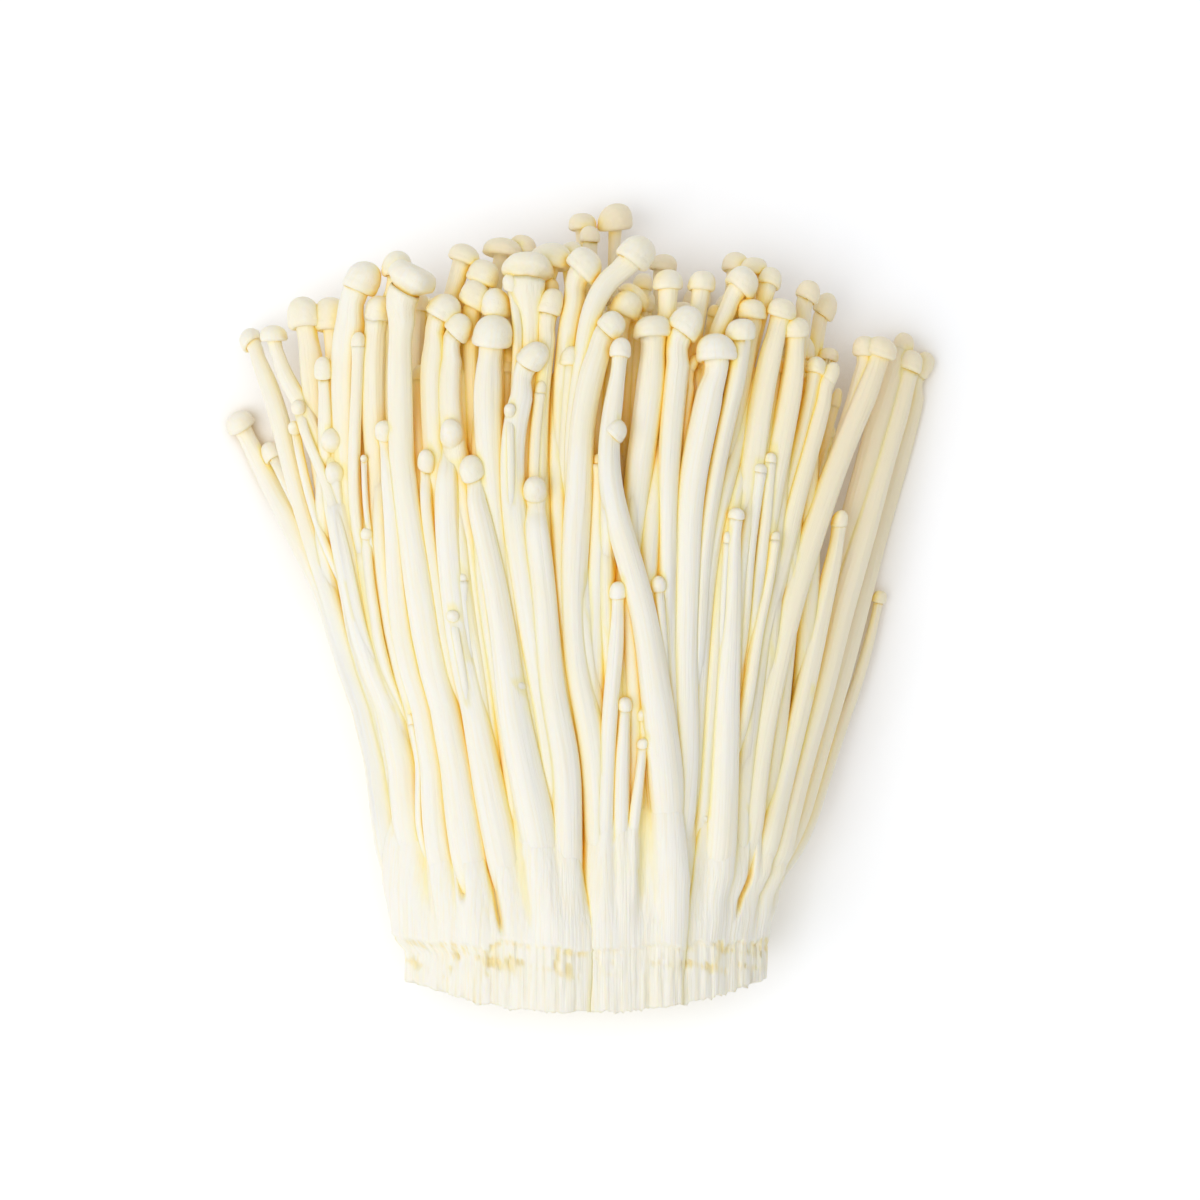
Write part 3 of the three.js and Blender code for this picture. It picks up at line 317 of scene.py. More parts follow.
# A cap that has opened out: flat, with a wavy margin, on a stem that widens into it.
OPEN_PROFILE = [
    (0, 0.3), (0.18, 0.32), (0.36, 0.36), (0.54, 0.39), (0.7, 0.38), (0.84, 0.31), (0.93, 0.2),
    (0.985, 0.06), (1.0, -0.05), (0.97, -0.13), (0.88, -0.19), (0.76, -0.26), (0.65, -0.34),
    (0.55, -0.43), (0.47, -0.53), (0.41, -0.64),
]
CAP_LOBES = (0.035, 0.03)  # depths of the two and three round a cap
CAP_LEAN = 0.1  # how askew a cap's rings are, as a share of its height
CAP_FULLNESS = (0.82, 1.15)  # the power on a dome's radii: under 1 is fuller, over 1 pointed
OPEN_WIDTH = 7.5  # caps wider than this have opened
OPEN_WAVE = 0.07
DENTS = 4  # shallow hollows in a cap, up to this share of its radius deep
DENT_DEPTH = 0.075
DENT_WIDTH = 0.16
NECK_SHARE = 0.4
NECK_LENGTH = 1.1  # a stem leaves its cap's own axis over this many times the cap's height
NECK_FLARE = 1.12
OPEN_FLARE = 2.0
NECK_REACH = (2.5, 8)  # how far the flare of a closed and of an open cap's neck runs down
DOME_RINGS = 8  # the first rings of a cap's outline are its dome
# The stems press flat against each other, most of all near the root: at each y, the share of
# the tuft's flattening, which comes in over this way down from the cap.
FLATTENING = ((-34, 1.0), (-12, 0.9), (10, 0.75), (40, 0.65))
FLATTENED_FROM = (1.5, 10)


# ---- Numbers, and places in the bunch ----
def table_at(table, place):
    """The value at a place between the entries of a table of places and values."""
    return np.interp(place, *zip(*table))


def mix(a, b, share):
    """a where the share is 0 and b where it is 1."""
    return a + (b - a) * share


def smooth_step(low, high, value):
    """0 at low, 1 at high (which may be the lower number), with a smooth rise between."""
    t = np.clip((value - low) / (high - low), 0, 1)
    return t * t * (3 - 2 * t)


def bell(value, middle, half_width):
    """1 at the middle, with a smooth fall on both sides."""
    return np.exp(-(((value - middle) / half_width) ** 2))


def unit(vectors):
    return vectors / np.linalg.norm(vectors, axis=-1, keepdims=True)


def fan_at(y):
    """How far up the fan a y lies, as a share, and the fan's half width there."""
    along = np.clip((np.asarray(y, float) - FAN_FOOT_Y) / FAN_LENGTH, 0, 1)
    return along, mix(*FAN_HALF_WIDTH, along)


def section_at(x, y):
    """Height of the bunch's top and of its underside over a place on the surface."""
    along, half = fan_at(y)
    shoulder = SHOULDER_AT_ROOT * (1 - along) ** 2
    arch = np.sqrt(np.maximum(0, 1 - (np.asarray(x) / half) ** 2))
    crown = mix(shoulder, CROWN_AT_ROOT - CROWN_DROP * along, arch)
    underside = UNDERSIDE_HEIGHT + np.maximum(0, shoulder - UNDERSIDE_HEIGHT) * (1 - arch)
    return crown, underside


def inward(places):
    """Which way the bunch's middle lies from each place, square to the bunch's surface."""
    x, y, z = np.asarray(places, float).T
    crown, underside = section_at(0, y)
    half_thick = (crown - underside) / 2
    _, half_wide = fan_at(y)
    out_z = (z - underside - half_thick) / half_thick**2
    return unit(np.stack([-x / half_wide**2, 0 * y, -out_z + 1e-9], axis=-1))


def splayed(x, y, z):
    """A place of the photograph's plan at its height, with the camera's perspective undone."""
    splay = 1 + SPLAY_PER_MM * (SPLAY_FROM[2] - z)
    return np.array([mix(SPLAY_FROM[0], x, splay), mix(SPLAY_FROM[1], y, splay), z])


def make_random(seed):
    """The part's own small generator, so that the inner stems lie where the solids have them."""
    state = seed
    while True:
        state = (state * 16807) % 2147483647
        yield state / 2147483647


# ---- A mushroom's middle line ----
def curve_stretch(p0, p1, p2, p3):
    """Points from p1 to just before p2 on the centripetal Catmull-Rom curve through all four."""
    t1 = np.linalg.norm(p1 - p0) ** 0.5
    t2 = t1 + np.linalg.norm(p2 - p1) ** 0.5
    t3 = t2 + np.linalg.norm(p3 - p2) ** 0.5
    t = np.linspace(t1, t2, CURVE_STEPS, endpoint=False)[:, None]

    def from_to(a, b, start, end):
        return (end - t) / (end - start) * a + (t - start) / (end - start) * b

    a1, a2, a3 = from_to(p0, p1, 0, t1), from_to(p1, p2, t1, t2), from_to(p2, p3, t2, t3)
    return from_to(from_to(a1, a2, 0, t2), from_to(a2, a3, t1, t3), t1, t2)


def spine(points, step):
    """Evenly spaced points on a smooth curve through the given ones, and how far along they are."""
    points = np.asarray(points, float)
    ends = [2 * points[0] - points[1], 2 * points[-1] - points[-2]]
    padded = np.vstack([ends[:1], points, ends[1:]])
    fours = zip(padded, padded[1:], padded[2:], padded[3:])
    fine = np.vstack([*(curve_stretch(*four) for four in fours), points[-1:]])
    reach = np.concatenate([[0], np.cumsum(np.linalg.norm(np.diff(fine, axis=0), axis=1))])
    stops = np.linspace(0, reach[-1], max(6, round(reach[-1] / step)) + 1)
    return np.stack([np.interp(stops, reach, fine[:, k]) for k in range(3)], axis=1), stops


def turned(vector, axis, degrees):
    """The vector, turned about a unit axis."""
    angle = math.radians(degrees)
    return (
        vector * math.cos(angle)
        + np.cross(axis, vector) * math.sin(angle)
        + axis * np.dot(axis, vector) * (1 - math.cos(angle))
    )


class Mushroom:
    """One mushroom: its sizes, its middle line and the seeded quirks of its shape."""

    def __init__(self, row, sides, step, flattened, draw):
        self.depth, *sizes, self.turn, self.lift, points = row
        self.stem, self.cap = sizes[:2], sizes[2:]
        self.sides = sides
        self.draw = draw
        self.rooted = points[-1][1] < ROOTED
        if not self.rooted:
            points = dived(points)
        self.is_open = self.cap[0] > OPEN_WIDTH
        line, self.stops = spine(points, step)
        for _ in range(round(2 * (SPINE_EVENING / step) ** 2)):
            line[1:-1] = (line[:-2] + 2 * line[1:-1] + line[2:]) / 4
        self.length = self.stops[-1]
        sway = SWAY * self.stem[0] * np.sin(math.pi * self.stops / self.length)
        waves = draw.uniform(*SWAY_WAVES, 2)
        phases = draw.uniform(0, math.tau, 2)
        for axis, wave, phase, strength in zip((0, 2), waves, phases, (1, 0.5)):
            line[:, axis] += sway * np.sin(math.tau * self.stops / wave + phase) * strength
        self.line = line.copy()
        self.settled = smooth_step(0, draw.uniform(*ROOT_REACH), self.length - self.stops)
        if self.rooted:
            line += inward(line) * (ROOT_SINK * (1 - self.settled))[:, None]
        self.track = line
        self.flattened = flattened * min(1, self.stem[1] / FULL_STEM) * self.rooted
        self.axes = unit(-np.gradient(line, axis=0))
        cap_axis = turned(self.axes[0], UP, -self.turn)
        sideways = unit(np.array([cap_axis[1], -cap_axis[0], 0.0]))
        self.cap_axis = turned(cap_axis, sideways, self.lift)

    def width_at(self, y, down=100):
        """How much wider than high the stem is there."""
        share = table_at(FLATTENING, y) * smooth_step(*FLATTENED_FROM, down)
        return 1 + self.flattened * share

    def rings(self):
        """Centres, axes and radii of the rings from the cap's top to the root, how far down
        each of them is, and how many are the cap's."""
        width, height = self.cap
        profile = np.array(OPEN_PROFILE if self.is_open else CAP_PROFILE)
        profile[:DOME_RINGS, 0] **= self.draw.uniform(*CAP_FULLNESS)
        cap_radii = profile[:, 0] * width / 2
        neck = NECK_SHARE * height
        below = self.stops > neck
        stops = np.concatenate([[neck], self.stops[below]])
        line = np.stack([np.interp(stops, self.stops, way) for way in self.track.T], axis=1)
        settle = smooth_step(neck, neck + NECK_LENGTH * height, stops)[:, None]
        line = mix(self.track[0] - stops[:, None] * self.cap_axis, line, settle)
        axes = unit(mix(self.cap_axis, np.vstack([self.axes[0], self.axes[below]]), settle))
        radii = mix(*self.stem, stops / self.length) / 2
        radii = radii * mix(ROOT_TAPER, 1, np.interp(stops, self.stops, self.settled))
        flare = (OPEN_FLARE if self.is_open else NECK_FLARE) - 1
        flare = 1 + flare * (1 - smooth_step(neck, neck + NECK_REACH[self.is_open], stops))
        swell = 1 + SWELL * np.sin(stops / self.draw.uniform(*SWELL_WAVES) + self.draw.uniform(0, 6))
        cap_centres = self.track[0] + profile[:, 1:] * height * self.cap_axis
        cap_axes = np.repeat(self.cap_axis[None], len(profile), 0)
        return (
            np.vstack([cap_centres, line, line[-1:]]),
            np.vstack([cap_axes, axes, axes[-1:]]),
            np.concatenate([cap_radii, radii * flare * swell, [0]]),
            np.concatenate([-profile[:, 1] * height, stops, stops[-1:]]),
            len(profile),
        )

    def dented(self, corners):
        """The cap's corners, pushed in a little at a few places."""
        out = corners - self.track[0]
        towards = unit(out)
        hollow = np.zeros(out.shape[:-1])
        for place in unit(self.draw.normal(size=(DENTS, 3))):
            depth = self.draw.uniform(0.2, 1) * DENT_DEPTH
            hollow += depth * np.exp((towards @ place - 1) / DENT_WIDTH)
        return self.track[0] + out * (1 - hollow)[..., None]

    def mesh(self):
        """Corners and faces of the skin, with the values the material reads at each corner."""
        centres, axes, radii, down, cap_rings = self.rings()
        angle = np.linspace(0, math.tau, self.sides, endpoint=False)[None]
        down, to_root = down[:, None], self.length - down[:, None]
        on_cap = (np.arange(len(radii)) < cap_rings)[:, None]
        phases = self.draw.uniform(0, math.tau, 6)
        turn = self.draw.uniform(-TWIST, TWIST) * down
        size = self.draw.uniform(*LOBE_SIZES, 3)
        two, three, five = STEM_LOBES[:3] * size
        eight = STEM_LOBES[3] * (self.sides == SHOWN_SIDES)
        stem_shape = lobed(angle, (
            (two, 2, phases[0], turn), (three, 3, phases[1], -2 * turn),
            (five, 5, phases[2], turn), (eight, 8, 3 * phases[2], -turn),
        ))
        stem_shape = 1 + (stem_shape - 1) * mix(ROOT_LOBES, 1, smooth_step(*EVEN_ROOT, to_root))
        two, three = CAP_LOBES * size[:2]
        wave = OPEN_WAVE * self.is_open
        cap_shape = lobed(angle, (
            (two, 2, phases[3], 0), (three, 3, phases[4], 0),
            (wave, 3, phases[5], 0), (wave / 2, 5, phases[4], 0),
        ))
        radius = radii[:, None] * np.where(on_cap, cap_shape, stem_shape)
        across = unit(np.cross(axes, UP))
        raised = np.cross(across, axes)
        lean = CAP_LEAN * self.cap[1] * size[2] * np.cos(angle + phases[5])
        lean = lean * np.where(on_cap, 2 * radius / self.cap[0], 0)
        wider = self.width_at(centres[:, 1:2], down)
        corners = (
            centres[:, None]
            + across[:, None] * (radius * wider * np.sin(angle))[..., None]
            + raised[:, None] * (radius * np.cos(angle))[..., None]
            + axes[:, None] * lean[..., None]
        )
        corners[:cap_rings] = self.dented(corners[:cap_rings])
        corners[..., 2] = np.maximum(corners[..., 2], FLOOR_GAP)
        self.rings_placed = (centres, axes, radii * np.sqrt(wider[:, 0]))
        offset = self.draw.uniform(0, FIBRE_OFFSET, 3)
        fibre = (radius * np.sin(angle), radius * np.cos(angle), np.broadcast_to(down, radius.shape))
        # Painted shade: the shade value weighs the depth, and the tone grows with depth as well as at
        # random
        depth = max(self.depth, 0)
        bare = min(CAP_SHADE[0], CAP_SHADE[1] / (depth + 1))
        buried = smooth_step(BURIED[0], BURIED[1] + BURIED[2] * depth, down)
        tone_and_shade = min(self.depth / FULL_SHADE_DEPTH, 1) + self.draw.uniform(0, TONE_SPREAD)
        if self.rooted:
            tone_and_shade = mix(BLOCK_TONE, tone_and_shade, smooth_step(*TONE_FROM_BLOCK, to_root))
        values = {
            "cap": on_cap.astype(float),
            "top": np.where(on_cap, 1 - radii[:, None] / (self.cap[0] / 2), 0),
            "stain_and_shade": 0.0,
            "shade": mix(bare, 1, buried),
            "tone_and_shade": tone_and_shade,
        }
        return {
            "corners": corners.reshape(-1, 3),
            "faces": tube_faces(len(radii), self.sides),
            "fibre": (offset + np.stack(fibre, axis=-1)).reshape(-1, 3),
            **{key: np.broadcast_to(value, radius.shape).ravel() for key, value in values.items()},
        }


def lobed(angle, waves):
    """A cross-section's outline around 1, from the depth, number, phase and turn of its lobes."""
    shape = 1
    for depth, count, phase, turn in waves:
        shape = shape + depth * np.cos(count * angle + phase + turn)
    return shape


def tube_faces(rings, sides):
    """Quads between the rings; the first and the last ring are points and close as fans."""
    ring, side = np.meshgrid(np.arange(rings - 1), np.arange(sides), indexing="ij")
    here = ring * sides
    there = here + sides
    following = (side + 1) % sides
    return np.stack([here + side, there + side, there + following, here + following],
                    axis=-1).reshape(-1, 4)


def dived(points):
    """A short stem's line led on between its neighbours, towards the root and down."""
    points = [np.asarray(point, float) for point in points]
    end = points[-1]
    last = unit((end - points[-2])[:2])
    aim = unit(np.array(FAN_FOCUS) - end[:2])
    way = unit(last + aim)
    crown = section_at(*end[:2])[0]
    room = min(1, (end[1] - DIVE_END_Y) / (-way[1] * DIVE_STEPS[-1][0]))
    for reach, fall in DIVE_STEPS:
        place = end[:2] + way * reach * room
        height = end[2] + section_at(*place)[0] - crown
        point = np.array([*place, max(height, 2)])
        points.append(point + fall * inward(point[None])[0])
    return points


def gaps_to(other, centres, radii, corners):
    """Which rings come close to another mushroom, and their corners' distances from its skin."""
    places, axes, widths = other.rings_placed
    gaps = np.linalg.norm(centres[:, None] - places[None], axis=2) - widths[None]
    nearest = gaps.argmin(axis=1)
    close = gaps[np.arange(len(centres)), nearest] < radii + NEIGHBOUR_GAP
    k, corners, centres = nearest[close], corners[close], centres[close]
    way = corners - places[k][:, None]
    lengthwise = (way * axes[k][:, None]).sum(axis=2, keepdims=True)
    out = np.linalg.norm(way - lengthwise * axes[k][:, None], axis=2) - widths[k][:, None]
    beyond = np.maximum(np.abs(lengthwise[..., 0]) - RING_STEP, 0)
    out = np.where(beyond > 0, np.hypot(np.maximum(out, 0), beyond), out)
    apart = places[k] - centres
    facing = (unit(corners - centres[:, None] + 1e-9) * unit(apart + 1e-9)[:, None]).sum(axis=2)
    least = LEAST_SPREAD * np.maximum(radii[close], widths[k])
    seen = (facing > FACING) & (np.linalg.norm(apart, axis=1) > least)[:, None]
    return close, np.where(seen, out, FAR)


def mark_creases(mushrooms, skins):
    """Paints shade where a mushroom's skin comes close to a neighbour's, all the way down where they
    touch.
    """
    boxes = []
    for mushroom in mushrooms:
        centres, _, radii = mushroom.rings_placed
        reach = radii.max() + CREASE_REACH
        boxes.append((centres.min(axis=0) - reach, centres.max(axis=0) + reach))
    for i, (mushroom, skin) in enumerate(zip(mushrooms, skins)):
        centres, _, radii = mushroom.rings_placed
        corners = skin["corners"].reshape(len(radii), -1, 3)
        near = np.full(corners.shape[:2], FAR)
        for j, other in enumerate(mushrooms):
            apart = (boxes[i][0] > boxes[j][1]) | (boxes[j][0] > boxes[i][1])
            if i == j or apart.any():
                continue
            close, gaps = gaps_to(other, centres, radii, corners)
            near[close] = np.minimum(near[close], gaps)
        crease_shade = 1 - smooth_step(0.0, CREASE_REACH, near)
        skin["crease_shade"] = crease_shade.reshape(-1) * np.where(skin["cap"] > 0, CREASE_ON_CAP, 1)


# ---- The lists of mushrooms of each tuft ----
def shown_rows(rows):
    """The listed mushrooms, with their lines placed under the crown."""
    placed = []
    for depth, stem_top, stem_root, cap_width, cap_height, turn, lift, line in rows:
        points = []
        for i in range(0, len(line), 2):
            x, y = line[i:i + 2]
            radius = (cap_width if i == 0 else stem_top) / 2
            crown = section_at(x, y)[0]
            points.append(splayed(x, y, max(crown - depth - stem_top / 2, radius - PRESSED)))
        placed.append([depth, stem_top, stem_root, cap_width, cap_height, turn, lift, points])
    return placed


def between(borders, margin, share, y):
    """x at y of a stem that lies this share of the way from the left border to the right one."""
    left, right = (table_at(border, y) for border in borders)
    return mix(left + margin, right - margin, share)


def inner_rows(borders):
    """The stems inside the bunch, by the rule that the solids use."""
    random = make_random(SEED)
    fan_y, fan_half = INNER_FAN
    left, right = (table_at(border, 0) for border in borders)
    count = round((right - left) / LAYER_SPACING)
    last_tip = INNER_TIP_Y - INNER_TIP_FALL * (between(borders, 0, 0.5, fan_y) / fan_half) ** 2
    placed = []
    for level in INNER_LEVELS:
        for i in range(count):
            share = (i + 0.5 + (next(random) - 0.5) * INNER_JITTER) / count
            tip = last_tip - INNER_TIP_SPREAD * next(random)
            size = mix(*INNER_SIZES, next(random))
            points = []
            for y in (tip, tip - NECK_BEND, *LONG_ROOTS):
                x = between(borders, INNER_MARGIN, share, y)
                crown, underside = section_at(x, y)
                points.append(splayed(x, y, mix(underside, max(crown - COVER, underside), level)))
            depth = COVER + INNER_DEPTH * (1 - level)
            placed.append([depth, *INNER_STEM, *(d * size for d in INNER_CAP), 0, 0, points])
    return placed


def under_rows(borders, draw):
    """Stems that fill the bunch close under the ones that show, seen between them."""
    placed = []
    left, right = (table_at(border, 0) for border in borders)
    for depth, spacing, width, tip_y in UNDER_LAYERS:
        count = round((right - left) / spacing) + 1
        for i in range(count):
            jitter = draw.uniform(-UNDER_JITTER, UNDER_JITTER)
            share = np.clip((i + jitter) / (count - 1), 0, 1)
            tip = tip_y - draw.uniform(0, UNDER_TIP_SPREAD)
            points = []
            for y in (tip, tip - NECK_BEND, tip - 2 * NECK_BEND, *UNDER_ROOTS):
                x = between(borders, UNDER_MARGIN, share, y)
                crown, underside = section_at(x, y)
                way, fall = UNDER_TIP_DROP
                drop = fall * smooth_step(tip - way, tip, y)
                points.append(splayed(x, y, max(crown - depth - drop, underside)))
            size = draw.uniform(*UNDER_SIZES)
            cap = [measure * size for measure in UNDER_CAP]
            placed.append([depth, UNDER_TAPER * width, width, *cap, 0, 0, points])
    return placed


# ---- The fused root block ----
# y, half width, half thickness, height of its middle, and how far its skin lies under the stems.
BLOCK_RINGS = [
    (-63.6, 28.0, 16.4, 16.4, 0), (-60, 28.3, 16.6, 16.4, 0), (-53, 28.7, 16.9, 16.4, 0),
    (-49, 29.3, 16.8, 16.4, 0), (-46, 29.6, 16.2, 16.3, 0.04), (-42, 30.2, 15.6, 16.2, 0.12),
    (-38, 30.6, 14.6, 16, 0.25), (-32, 30.6, 13.2, 15.8, 0.6), (-26, 29, 11, 15.4, 1.4),
    (-18, 25, 8, 15.4, 4), (-10, 19, 5, 15.8, 9),
]
BLOCK_SQUARENESS = 2.3  # 2 would be an ellipse, and more is squarer
BLOCK_FLOOR_GAP = 0.02
CUT_BULGE = 3.3  # the cut end is domed: its sides lie this far back from its middle
MOST_BULGE = 1.2  # and no part further back than this many times that
CUT_REACH = 7  # the dome and the ragged edge are gone this far from the cut end
SKIN_END_Y = -10
SKIN_STEP = 0.42
# How sharply the stems and the bare outline stay apart in the skin, at each y.
SKIN_BLEND = ((-56, 1.3), (-50, 1.8), (-46, 2.6), (-38, 3.6), (-24, 5))
BLEND_ABOUT = 20  # the powers of the blend are taken about this reach, so that they stay small
BLEND_EXCESS = 0.35  # what a blend adds to the reach, times its sharpness, is taken off again
GRAZE = 0.3  # directions that only graze a stem count less
BARE_NECK = 10  # a stem doesn't count nearer to its cap than this
WALL_SHARPNESS = 5  # how sharply the skin stops where the next tuft begins
OUTLINE_SINK = 0.3
MASS_THICKNESS = 3.2  # half the height of a mass's oval section
MASS_LIFT = 0.1
MASS_RISE = (8, 1.2)  # a mass comes up out of its stems over this way, from this far down
# How far out of the block's bare outline a web between stems may stand, at each y.
WEB_REACH = ((-60, 4), (-42, 2.4), (-30, 0.3), (-10, -0.5))
TOP_REACH = 12  # and how much further on the upper side, between these cosines from upright
UPPER_SIDE = (0.2, 0.6)
# Waves round the skin that are shorter than this are evened out, at each y.
SKIN_EVENNESS = ((-57, 1.8), (-52, 1.1), (-48, 0.45), (-43, 0))
LEAST_EVENING = 0.05
SKIN_SIDES = (-30, 31)  # the x between which a tuft's skin has its middle
SKIN_ARC = 15  # a turn round the skin is as long as one round a circle of this radius
CUT_HALF_WIDTH = 29
CUT_ROUGHNESS = 0.16
CUT_STAIN = (0.04, 0.12)  # all over the cut end, and on its raised places
BASE_OVERLAP = ((-50, 0.3), (-42, 0.12))  # at each y, how far a tuft's skin runs into the next
# Painted shade in the partings and hollows of the skin:
LIP_CREASE = 1.1  # the skin gets painted shade this close to the next tuft
HOLLOW_SHADE_STRENGTH = 0.8
HOLLOW = (0.1, 0.6)  # or lies this deep under its own evened outline, save on the underside
HOLLOW_EVENING = 1.0
GROOVE_FADE = 4  # a crack runs out over this way, and only where the skin is above this height
GROOVES_ABOVE = 16
LEDGE_STEP = 0.5  # under the ledge the skin steps back by this, over this way up and down
LEDGE_BLUNTNESS = 0.2
FIBRE_DEPTHS = (0.13, 0.07)  # how high the broad and the fine fibres under the ledge stand
FINE_ABOVE = 0.045  # and the fine ones above it, which come in from this y to that
FINE_FROM = (-26, -46)
STAINED_BAND = (2.6, 2.3)  # the middle and half width, under the ledge, of the pits and patches
LEDGE_LINE = (0.35, 0.35)  # and of the thin line along the ledge, partly stain and partly painted shadow under its lip
PITTED = (0.9, 2.0)  # where the fields lie between such values, the skin is pitted,
PATCHED = (-0.3, 1.2)  # has a straw patch
LINED = (-0.2, 0.8)  # or shows the line
PIT_DEPTH = 0.5
# Stain strengths; the groove's is painted shade and the ledge line's is partly painted shadow
PIT_STAIN, PATCH_STAIN, LEDGE_LINE_STAIN_AND_SHADOW, GROOVE_SHADE, FIBRE_STAIN = 0.5, 0.55, 0.6, 0.3, 0.1
END_RINGS = 24
MOST_RAGGED = 0.45  # no part of the cut end sticks out further than this
# Waves round the ledge and round the cut's edge: their height, number and length.
LEDGE_WAVE = (0.5, 6, 9)
EDGE_WAVES = ((0.22, 9, 4), (0.2, 9, 1))
# Seeded fields over the block: the seed's number, waves, and their length across and along.
FIBRE_FIELD = (7, 14, 1.3, 26)
FINE_FIELD = (8, 14, 0.6, 18)
PATCH_FIELD = (9, 14, 8, 5)
PIT_FIELD = (10, 14, 0.8, 3.6)
ROUGH_FIELD = (11, 20, 2.4, 2.4)


def block_at(y):
    """The block's half width, half thickness, middle height and sink at one y."""
    ys, *columns = zip(*BLOCK_RINGS)
    return [np.interp(y, ys, column) for column in columns]


def soft_noise(a, b, draw, waves, scale_a, scale_b):
    """A smooth seeded field over a grid, as a sum of waves."""
    total = np.zeros(np.broadcast(a, b).shape)
    for _ in range(waves):
        fa = draw.normal(0, 1 / scale_a)
        fb = draw.normal(0, 1 / scale_b)
        total += np.sin(math.tau * (a * fa + b * fb) + draw.uniform(0, math.tau))
    return total / math.sqrt(waves)


def wave_round(arc, draw, height, waves, length):
    """A seeded wave round the block, in the direction of its axis."""
    return height * soft_noise(arc, 0, draw, waves, length, length)


def block_field(x, y, number, *shape):
    """One of the seeded fields above, at places of the plan or of the cut end."""
    return soft_noise(x, y, np.random.RandomState(SEED + number), *shape)


def evened(radii, length):
    """The radii of a ring without the waves that are shorter than this."""
    waves = np.arange(len(radii) // 2 + 1)
    return np.fft.irfft(np.fft.rfft(radii) * np.exp(-((waves * length / SKIN_ARC) ** 2) / 2), len(radii))


def block_outline(y, middle, angle):
    """The block's bare outline as a distance from a middle in each direction."""
    half_width, half_thick, block_z, _ = block_at(y)
    turn = np.linspace(0, math.tau, 360, endpoint=False)
    bend = 2 / BLOCK_SQUARENESS
    x = ROOT_MIDDLE_X + half_width * np.sign(np.sin(turn)) * np.abs(np.sin(turn)) ** bend
    z = block_z + half_thick * np.sign(np.cos(turn)) * np.abs(np.cos(turn)) ** bend
    x, z = x - middle[0], z - middle[1]
    return np.interp(angle, np.arctan2(x, z) % math.tau, np.hypot(x, z), period=math.tau)


def stem_reach(x, z, half_width, half_height, dx, dz, blend):
    """What an elliptical stem at x, z from the middle adds to the skin in each direction."""
    ux, uz = dx / half_width, dz / half_height
    ox, oz = -x / half_width, -z / half_height
    a, b, c = ux**2 + uz**2, ox * ux + oz * uz, ox**2 + oz**2 - 1
    inside = b**2 / a - c
    out = (-b + np.sqrt(np.maximum(inside * a, 0))) / a
    return smooth_step(0, GRAZE, inside) * (out > 0) * np.exp(blend * (out - BLEND_ABOUT))


def skin_radii(tuft, mushrooms, angle, y, middle):
    """How far the tuft's fused skin reaches from its middle in each direction at one y, and how
    much painted shade it gets there because it lies in a hollow."""
    cx, cz = middle
    dx, dz = np.sin(angle), np.cos(angle)
    blend = table_at(SKIN_BLEND, y)
    base = block_outline(y, middle, angle) - OUTLINE_SINK
    reach = np.exp(blend * (base - BLEND_ABOUT))
    most = base + table_at(WEB_REACH, y) + TOP_REACH * smooth_step(*UPPER_SIDE, dz)
    for mushroom in mushrooms:
        line = mushroom.line
        if y > line[0, 1] - BARE_NECK or (y < line[-1, 1] and not mushroom.rooted):
            continue
        x, z = (np.interp(y, line[::-1, 1], line[::-1, k]) for k in (0, 2))
        share = np.interp(y, line[::-1, 1], mushroom.stops[::-1]) / mushroom.length
        radius = mix(*mushroom.stem, share) / 2
        reach += stem_reach(x - cx, z - cz, radius * mushroom.width_at(y), radius, dx, dz, blend)
    for mass in tuft["masses"]:
        ys, xs, half_widths = zip(*mass)
        if y > ys[0]:
            continue
        x = np.interp(y, ys[::-1], xs[::-1])
        half = np.interp(y, ys[::-1], half_widths[::-1])
        way, fall = MASS_RISE
        lift = MASS_LIFT - fall * (1 - smooth_step(0, way, ys[0] - y))
        z = section_at(x, y)[0] - MASS_THICKNESS + lift
        x, _, z = splayed(x, y, z)
        reach += stem_reach(x - cx, z - cz, half, MASS_THICKNESS, dx, dz, blend)
    radii = np.log(reach) / blend + BLEND_ABOUT - BLEND_EXCESS / blend
    radii = np.minimum(radii, most)
    even = table_at(SKIN_EVENNESS, y)
    if even > LEAST_EVENING:
        radii = evened(radii, even)
    hollow_shade = smooth_step(*HOLLOW, evened(radii, HOLLOW_EVENING) - radii)
    return radii, HOLLOW_SHADE_STRENGTH * hollow_shade * (dz > -0.2)


def held_by_neighbours(tuft, radii, angle, y, cx):
    """The same reach, stopped where the tufts on both sides begin, and the painted shade along that edge.
    """
    dx, dz = np.sin(angle), np.cos(angle)
    left, right = (table_at(border, y) for border in tuft["space"])
    overlap = table_at(BASE_OVERLAP, y)
    to_left = np.where(dx < -1e-3, (left - overlap - cx) / np.minimum(dx, -1e-3), 1e3)
    to_right = np.where(dx > 1e-3, (right + overlap - cx) / np.maximum(dx, 1e-3), 1e3)
    crease_shade = np.zeros(len(angle))
    for wall in (to_left, to_right):
        crease_shade = np.maximum(crease_shade, 1 - smooth_step(0, LIP_CREASE, wall - radii))
        beyond = np.clip(WALL_SHARPNESS * (radii - wall), -50, 50)
        radii = radii - np.log1p(np.exp(beyond)) / WALL_SHARPNESS
    return radii, HOLLOW_SHADE_STRENGTH * crease_shade * (dz > 0)


def groove_cut(tuft, x, z, y):
    """How deep the cracks between the stems run into the skin at one y."""
    cut = np.zeros(x.shape)
    for half_width, depth, places in tuft["grooves"]:
        ys, xs = zip(*places)
        if ys[0] <= y:
            continue
        fade = smooth_step(0, GROOVE_FADE, y - ys[-1])
        middle = np.interp(y, ys[::-1], xs[::-1])
        cut += depth * fade * bell(x, middle, half_width) * (z > GROOVES_ABOVE)
    return cut


